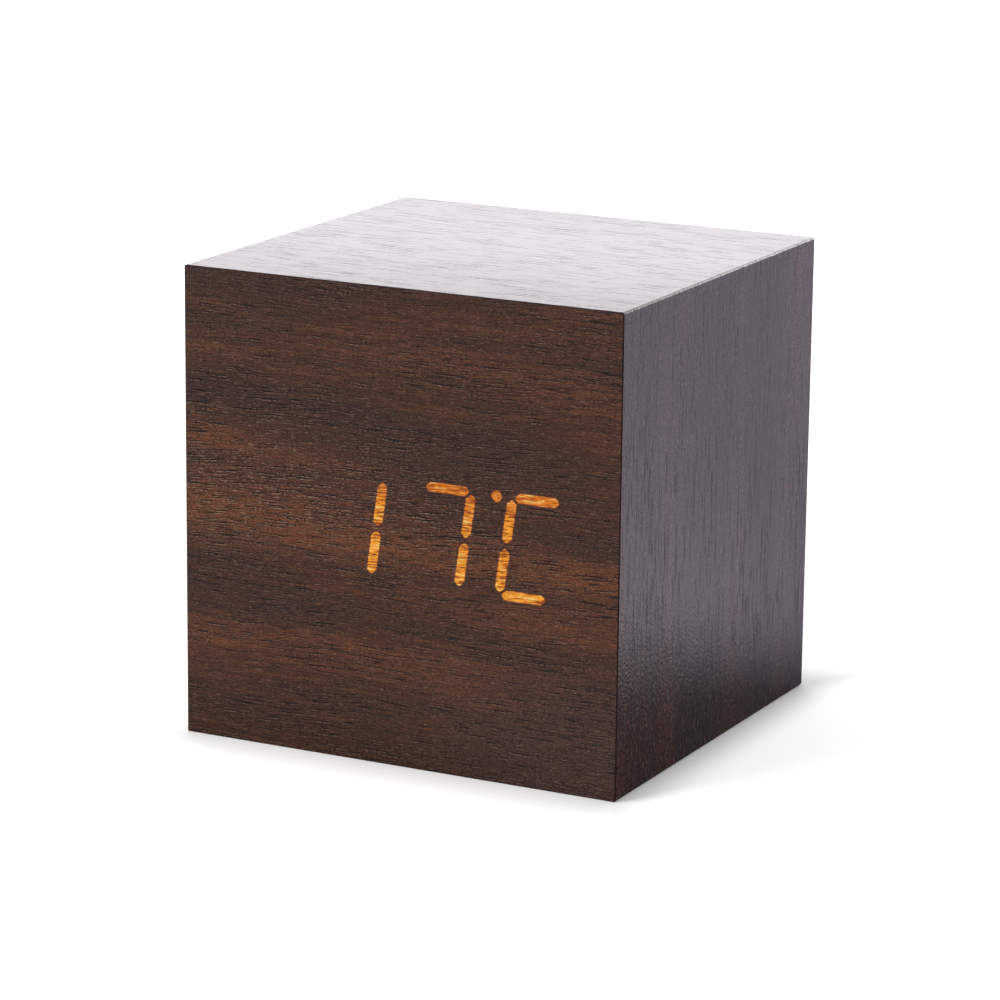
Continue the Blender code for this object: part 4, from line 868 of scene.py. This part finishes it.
def turned(shape, profile, middle, axis, sides=ROUND_SIDES, attribute=None):
    """Turn a profile of (radius, place along the axis) points about an axis through a middle."""
    turn = Vector((0, 0, 1)).rotation_difference(Vector(axis)).to_matrix()
    length = profile[-1][1] - profile[0][1]
    before = None
    for radius, run in profile:
        loop = []
        for step in range(sides):
            angle = math.tau * step / sides
            place = turn @ Vector((radius * math.cos(angle), radius * math.sin(angle), run))
            loop.append(shape.verts.new((place + Vector(middle)) * MM))
        if attribute:
            for vert in loop:
                vert[attribute] = (run - profile[0][1]) / length
        if before:
            bridge(shape, before, loop)
        else:
            cap(shape, list(reversed(loop)))
        before = loop
    cap(shape, before)


def arc(radius, run, size, start, end, steps):
    """Points of a small round about a middle at a radius and run, from one angle to another."""
    points = []
    for step in range(steps + 1):
        angle = math.radians(start + (end - start) * step / steps)
        points.append((radius + size * math.cos(angle), run + size * math.sin(angle)))
    return points


def node_box(node):
    """A CAD node's lowest and highest corner, and its middle, in millimetres."""
    low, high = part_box(node)
    return low / MM, high / MM, (low + high) / 2 / MM


def make_buttons(plastic):
    """Three round caps with a flange behind the cover, a rounded rim and a slightly dished face."""
    for name in ("set", "up", "down"):
        low, high, middle = node_box(f"button_{name}")
        flange = (high.x - low.x) / 2
        reach = high.y - low.y
        profile = [(flange, 0.0), (flange, FLANGE_THICKNESS), (BUTTON_RADIUS, FLANGE_THICKNESS)]
        profile += arc(BUTTON_RADIUS - BUTTON_ROUND, reach - BUTTON_ROUND, BUTTON_ROUND, 0, 90, 5)
        profile += [(radius, reach - BUTTON_DISH * (1 - (radius / BUTTON_RADIUS) ** 2))
                    for radius in DISH_RINGS]
        shape = bmesh.new()
        turned(shape, profile, (middle.x, low.y, middle.z), (0, 1, 0))
        piece(f"button_{name}_cap", shape, f"{name}_button", (plastic,), [f"button_{name}"])


def screw_profile(head, reach):
    """A screw from its point to the top of its domed head."""
    seat = reach - SCREW_HEAD_HEIGHT
    profile = [(SCREW_POINT, 0.0), (SCREW_SHANK, SCREW_TIP)]
    run = SCREW_TIP
    while run + SCREW_PITCH < seat - SCREW_NECK:
        profile.append((SCREW_SHANK, run + SCREW_PITCH * 0.5))
        profile.append((SCREW_SHANK - SCREW_THREAD, run + SCREW_PITCH * 0.75))
        profile.append((SCREW_SHANK, run + SCREW_PITCH))
        run += SCREW_PITCH
    profile += [(SCREW_SHANK, seat), (head, seat)]
    profile += arc(head - SCREW_ROUND, reach - SCREW_ROUND - SCREW_CROWN, SCREW_ROUND, 0, 70, 4)
    return profile + [(radius, reach - drop) for radius, drop in SCREW_DOME]


def cross_recess(middle, face, way):
    """The tapered cross that is cut into a screw's head."""
    long, short = RECESS
    cross = [(long, short), (short, short), (short, long)]
    cross += [(-x, z) for x, z in reversed(cross)]
    cross += [(-x, -z) for x, z in cross]
    cutter = bmesh.new()
    rings = []
    for depth, share in RECESS_RINGS:
        outline = [(middle.x + x * share, middle.z + z * share) for x, z in cross]
        rings.append(ring(cutter, outline, face - way * depth))
    for near, far in zip(rings, rings[1:]):
        bridge(cutter, near, far)
    cap(cutter, rings[0])
    cap(cutter, rings[-1])
    return cutter


def make_screws(steel):
    """Pan-head screws with a domed head and a tapered cross recess. way is where the head points."""
    ways = {f"cover_screw_{row}_{side}": 1 for row in ("lower", "upper") for side in ("left", "right")}
    ways.update({f"display_screw_{row}": 1 for row in ("upper", "lower")})
    ways.update({f"board_screw_{side}": -1 for side in ("left", "right")})
    for name, way in ways.items():
        low, high, middle = node_box(name)
        start, face = (low.y, high.y) if way > 0 else (high.y, low.y)
        shape = bmesh.new()
        turned(shape, screw_profile((high.x - low.x) / 2, high.y - low.y), (middle.x, start, middle.z),
               (0, way, 0), SCREW_SIDES)
        made = piece(f"{name}_body", shape, "case", (steel,), [name])
        cut(made, cross_recess(middle, face, way))


def make_jack(plastic, steel):
    """The power socket: a block behind the cover, a round collar, and a plated pin in its bore."""
    low, high, middle = node_box("dc_jack")
    shape = bmesh.new()
    bmesh.ops.create_cube(shape, size=1)
    size = high - low
    size.y -= COLLAR_REACH
    bmesh.ops.scale(shape, vec=size * MM, verts=shape.verts)
    bmesh.ops.translate(shape, vec=point(middle.x, low.y + size.y / 2, middle.z), verts=shape.verts)
    bmesh.ops.bevel(shape, geom=shape.edges, offset=BLOCK_ROUND * MM, segments=2, profile=0.5, affect="EDGES")
    made = piece("dc_jack_body", shape, "case", (plastic,), ["dc_jack"])
    collar = bmesh.new()
    profile = [(COLLAR + wider, run) for wider, run in COLLAR_ROOT]
    profile += arc(COLLAR - COLLAR_ROUND, COLLAR_REACH - COLLAR_ROUND, COLLAR_ROUND, 0, 90, 3)
    turned(collar, profile, (middle.x, high.y - COLLAR_REACH, middle.z), (0, 1, 0))
    cut(made, collar, "UNION")
    bore = bmesh.new()
    profile = [(BORE, -BORE_DEPTH)] + [(BORE + wider, run) for wider, run in BORE_MOUTH]
    turned(bore, profile, (middle.x, high.y, middle.z), (0, 1, 0))
    cut(made, bore)
    pin = bmesh.new()
    profile = [(PIN, -BORE_DEPTH - PIN_ROOT)]
    profile += arc(PIN - PIN_ROUND, -PIN_INSET - PIN_ROUND, PIN_ROUND, 0, 80, 5)
    turned(pin, profile, (middle.x, high.y, middle.z), (0, 1, 0), PIN_SIDES)
    piece("dc_jack_pin", pin, "case", (steel,))


def make_cells(jacket):
    """Three cells: a can with rolled ends in its sleeve, a nub at one end and a shallow ring at the other."""
    for index, name in enumerate(("bottom", "middle", "top")):
        low, high, middle = node_box(f"battery_cell_{name}")
        way = 1 if index % 2 == 0 else -1
        radius = (high.z - low.z) / 2
        body = high.x - low.x - NUB_LENGTH
        profile = [(radius - inset, place) for inset, place in CELL_BASE]
        profile += arc(radius - CELL_ROUND, CELL_ROUND, CELL_ROUND, -90, 0, 5)
        profile += arc(radius - CELL_ROUND, body - CELL_ROUND, CELL_ROUND, 0, 90, 5)
        profile += [(radius - CELL_SHOULDER, body - CELL_SINK), (NUB + CELL_SKIRT, body - CELL_SINK),
                    (NUB, body)]
        profile += arc(NUB - NUB_ROUND, body + NUB_LENGTH - NUB_ROUND, NUB_ROUND, 0, 90, 4)
        shape = bmesh.new()
        run = shape.verts.layers.float.new("run")
        start = low.x if way > 0 else high.x
        turned(shape, profile, (start, middle.y, middle.z), (way, 0, 0), attribute=run)
        piece(f"battery_cell_{name}_can", shape, "case", (jacket,), [f"battery_cell_{name}"])


def make_springs(steel):
    """Conical springs, wide on the contact and narrow at the cell."""
    for index, name in enumerate(("bottom", "middle", "top")):
        low, high, _ = node_box(f"contact_spring_{name}")
        cell = node_box(f"battery_cell_{name}")[2]
        side = -1 if index % 2 == 0 else 1
        wide, narrow = (low.x, high.x) if side < 0 else (high.x, low.x)
        wide -= side * SPRING_WIRE / 2
        narrow += side * SPRING_WIRE / 2
        curve = bpy.data.curves.new(f"contact_spring_{name}_coil", "CURVE")
        curve.dimensions = "3D"
        curve.bevel_depth = SPRING_WIRE / 2 * MM
        curve.bevel_resolution = 4
        curve.use_fill_caps = True
        count = SPRING_TURNS * SPRING_STEPS
        spline = curve.splines.new("POLY")
        spline.points.add(count)
        for step in range(count + 1):
            share = step / count
            angle = math.tau * step / SPRING_STEPS
            radius = SPRING_RADII[0] + (SPRING_RADII[1] - SPRING_RADII[0]) * share
            place = point(wide + (narrow - wide) * share, cell.y + radius * math.cos(angle),
                          cell.z + radius * math.sin(angle))
            spline.points[step].co = (*place, 1)
        curve.materials.append(steel)
        made = new_object(f"contact_spring_{name}_coil", curve)
        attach(made, "case")
        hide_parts(f"contact_spring_{name}")


def soften_cad(names, width):
    """Break the sharp edges of moulded CAD nodes with a small round."""
    for name in names:
        node = frame["nodes"][name]
        weld = node.modifiers.new("weld", "WELD")
        weld.merge_threshold = WELD_DISTANCE * MM
        bevel = node.modifiers.new("round", "BEVEL")
        bevel.width = width * MM
        bevel.segments = 2
        bevel.limit_method = "ANGLE"
        bevel.angle_limit = math.radians(40.0)
        bevel.harden_normals = True


def round_cad(names):
    """Smooth the facets of thin round CAD nodes."""
    for name in names:
        node = frame["nodes"][name]
        weld = node.modifiers.new("weld", "WELD")
        weld.merge_threshold = WELD_DISTANCE * MM
        smooth = node.modifiers.new("smooth", "SUBSURF")
        smooth.levels = smooth.render_levels = 1


def dress_cad(materials):
    """Give every CAD node that is shown as it is the finish of its material slot."""
    rows = frame["record"]["subparts"]
    slots = {row["node"]: row["material_slot"] for row in rows if "material_slot" in row}
    for name, node in frame["nodes"].items():
        finish = materials.get(slots.get(name))
        if finish:
            node.data.materials.clear()
            node.data.materials.append(finish)


def make_camera():
    azimuth, elevation, roll = CAMERA_AZIMUTH, CAMERA_ELEVATION, CAMERA_ROLL
    back = Vector((math.sin(azimuth) * math.cos(elevation), -math.cos(azimuth) * math.cos(elevation),
                   math.sin(elevation)))
    level = Vector((math.cos(azimuth), math.sin(azimuth), 0))
    upright = back.cross(level)
    right = level * math.cos(roll) + upright * math.sin(roll)
    up = upright * math.cos(roll) - level * math.sin(roll)
    data = bpy.data.cameras.new("camera")
    data.lens = CAMERA_LENS
    data.sensor_width = CAMERA_SENSOR
    data.clip_start = 0.01
    data.clip_end = 20.0
    camera = new_object("camera", data)
    turn = Matrix((right, up, back)).transposed().to_4x4()
    camera.matrix_world = Matrix.Translation(point(*CAMERA_TARGET) + back * CAMERA_DISTANCE * MM) @ turn
    bpy.context.scene.camera = camera


def area_light(name, place, target, size, watts, colour=(1, 1, 1)):
    """A rectangular lamp at a place, turned towards a target."""
    data = bpy.data.lights.new(name, "AREA")
    data.shape = "RECTANGLE"
    data.size, data.size_y = size[0] * MM, size[1] * MM
    data.energy = watts
    data.color = colour
    lamp = new_object(name, data)
    lamp.location = point(*place)
    lamp.rotation_euler = (point(*target) - lamp.location).to_track_quat("-Z", "Y").to_euler()


def seen_white(tree, dim, mirrored=True):
    """1 for what the camera, glass or, if mirrored, a mirror sees, and dim for what lights the object."""
    path = tree.nodes.new("ShaderNodeLightPath")
    seen = path.outputs["Is Camera Ray"]
    for kind in ("Is Transmission Ray", "Is Glossy Ray") if mirrored else ("Is Transmission Ray",):
        most = tree.nodes.new("ShaderNodeMath")
        most.operation = "MAXIMUM"
        tree.links.new(seen, most.inputs[0])
        tree.links.new(path.outputs[kind], most.inputs[1])
        seen = most.outputs[0]
    strength = tree.nodes.new("ShaderNodeMapRange")
    tree.links.new(seen, strength.inputs["Value"])
    strength.inputs["To Min"].default_value = dim
    strength.inputs["To Max"].default_value = 1.0
    return strength.outputs["Result"]


def painted_floor_reflection(nodes, x, y, sideways):
    """A painted reflection: how bright the floor is in a mirror, darkened as a painted shadow close to the
    clock, and brightest well behind it.
    """
    level, back, aside = MIRROR_BEHIND
    behind = nodes.times_plus(y, back, nodes.times_plus(sideways, aside, level))
    behind = nodes.math("MINIMUM", nodes.most(behind, MIRROR_LIMITS[0]), MIRROR_LIMITS[1])
    near = nodes.times(nodes.step(x, -30.0, 20.0), nodes.step(y, -120.0, -60.0))
    before = nodes.times(nodes.step(y, -25.0, -50.0), nodes.times_plus(near, MIRROR_NEAR, MIRROR_BEFORE))
    past = nodes.step(nodes.times_plus(sideways, 1.1, y), 58.0, 128.0)
    return nodes.most(nodes.times(past, behind), before)


def pale_floor():
    """White to the camera but for a painted shadow near the clock. In a mirror it shows the painted
    reflection that the function above gives.
    """
    nodes = Nodes("pale_floor")
    nodes.shader.inputs["Specular IOR Level"].default_value = 0.1
    x, y, _ = nodes.place()
    sideways = nodes.math("ABSOLUTE", x)
    mirror = nodes.add("ShaderNodeLightPath").outputs["Is Glossy Ray"]
    mirrored = nodes.times(mirror, painted_floor_reflection(nodes, x, y, sideways))
    # Painted contact shadow: the camera sees the floor darker in a band beside and before the clock
    beside = nodes.times(nodes.minus(sideways, SIDE), 1.8)
    ahead = nodes.plus(nodes.math("ABSOLUTE", y), FRONT)
    contact = nodes.step(nodes.most(beside, ahead), -4.0, 13.0)
    seen = nodes.times(seen_white(nodes.tree, 0.0, False), nodes.times_plus(contact, 0.52, 0.10))
    # Painted reflection: to a mirror the floor's colour is a dark blue-grey and its glow violet
    nodes.set(Base_Color=nodes.mix(mirror, (0.88, 0.88, 0.88), (0.10, 0.14, 0.20)), Roughness=0.9,
              Emission_Color=nodes.mix(mirror, (1.0, 1.0, 1.0), (0.92, 0.84, 1.0)),
              Emission_Strength=nodes.most(seen, mirrored))
    return nodes.material


def make_floor():
    shape = bmesh.new()
    cap(shape, [shape.verts.new(point(x * FLOOR_REACH, y * FLOOR_REACH, -FLOOR_DROP))
                for x, y in ((-1, -1), (1, -1), (1, 1), (-1, 1))])
    floor = new_object("floor", new_mesh("floor", shape))
    floor.data.materials.append(pale_floor())


def make_studio():
    """White surroundings, a pale floor, a soft key light and a large bright screen behind the clock."""
    world = bpy.data.worlds.new("studio")
    bpy.context.scene.world = world
    world.use_nodes = True
    background = world.node_tree.nodes["Background"]
    background.inputs["Color"].default_value = (1, 1, 1, 1)
    world.node_tree.links.new(seen_white(world.node_tree, WORLD_STRENGTH), background.inputs["Strength"])
    make_floor()
    area_light("key", **KEY)
    area_light("screen", **SCREEN)
    bpy.context.scene.view_settings.view_transform = "Standard"


def build():
    make_camera()
    make_studio()
    edge = cut_edge()
    shapes = read_out_shapes()
    front_film(case_film("walnut_front", "xz", 0.0, FRONT_SHEEN, FRONT_IOR, front=True, speck=FRONT_SPECK),
               edge, shapes)
    lit_plates(lit_film(), amber_pipe(), shapes)
    films = {
        "top_panel": case_film("walnut_top", "xy", 11.0, relief_depth=0.026, roughening=0.10,
                               stretch=(1.5, 2.2), uneven=0.10, figure=0.15, crowding=0.80,
                               speck=(2.4, 4.4, 0.35)),
        "bottom_panel": case_film("walnut_bottom", "xy", 23.0),
        "right_panel": case_film("walnut_right", "zy", 37.0, SIDE_SHEEN, SIDE_IOR, tone=0.02,
                                 relief_depth=0.11, roughness=0.20, roughening=0.30, stretch=(1.6, 1.5),
                                 uneven=0.2, figure=1.6, crowding=0.45, speck=(3.4, 4.4, 2.0)),
        "left_panel": case_film("walnut_left", "zy", 53.0, FRONT_SHEEN, FRONT_IOR, tone=0.04, uneven=0.55,
                                crowding=0.75, speck=FRONT_SPECK),
    }
    case_panels(films, edge)
    steel = plated_steel()
    black = moulded_plastic("black_plastic", (0.011, 0.011, 0.012), (0.021, 0.021, 0.022), 4.0, 0.48)
    button = moulded_plastic("button_plastic", (0.026, 0.026, 0.028), (0.034, 0.034, 0.036), 1.5, 0.34)
    make_buttons(button)
    make_screws(steel)
    make_jack(black, steel)
    make_cells(cell_jacket())
    make_springs(steel)
    soften_cad(("back_cover", "battery_door"), 0.12)
    round_cad(("battery_lead_red", "battery_lead_black"))
    dress_cad({
        "walnut_film": films["top_panel"],
        "fibreboard": fibreboard(),
        "module_plastic": moulded_plastic("module_plastic", (0.022, 0.022, 0.024), (0.036, 0.036, 0.038),
                                          3.0, 0.5),
        "green_laminate": laminate(),
        "black_plastic": black,
        "button_plastic": button,
        "white_plastic": moulded_plastic("white_plastic", (0.70, 0.70, 0.67), (0.78, 0.78, 0.75), 1.5, 0.38),
        "plated_steel": steel,
        "blue_bead": bead(),
        "red_insulation": soft_insulation("red_insulation", (0.36, 0.012, 0.012), (0.50, 0.03, 0.025)),
        "black_insulation": soft_insulation("black_insulation", (0.011, 0.011, 0.012), (0.022, 0.022, 0.022)),
        "grey_insulation": ribbon(),
    })


build()
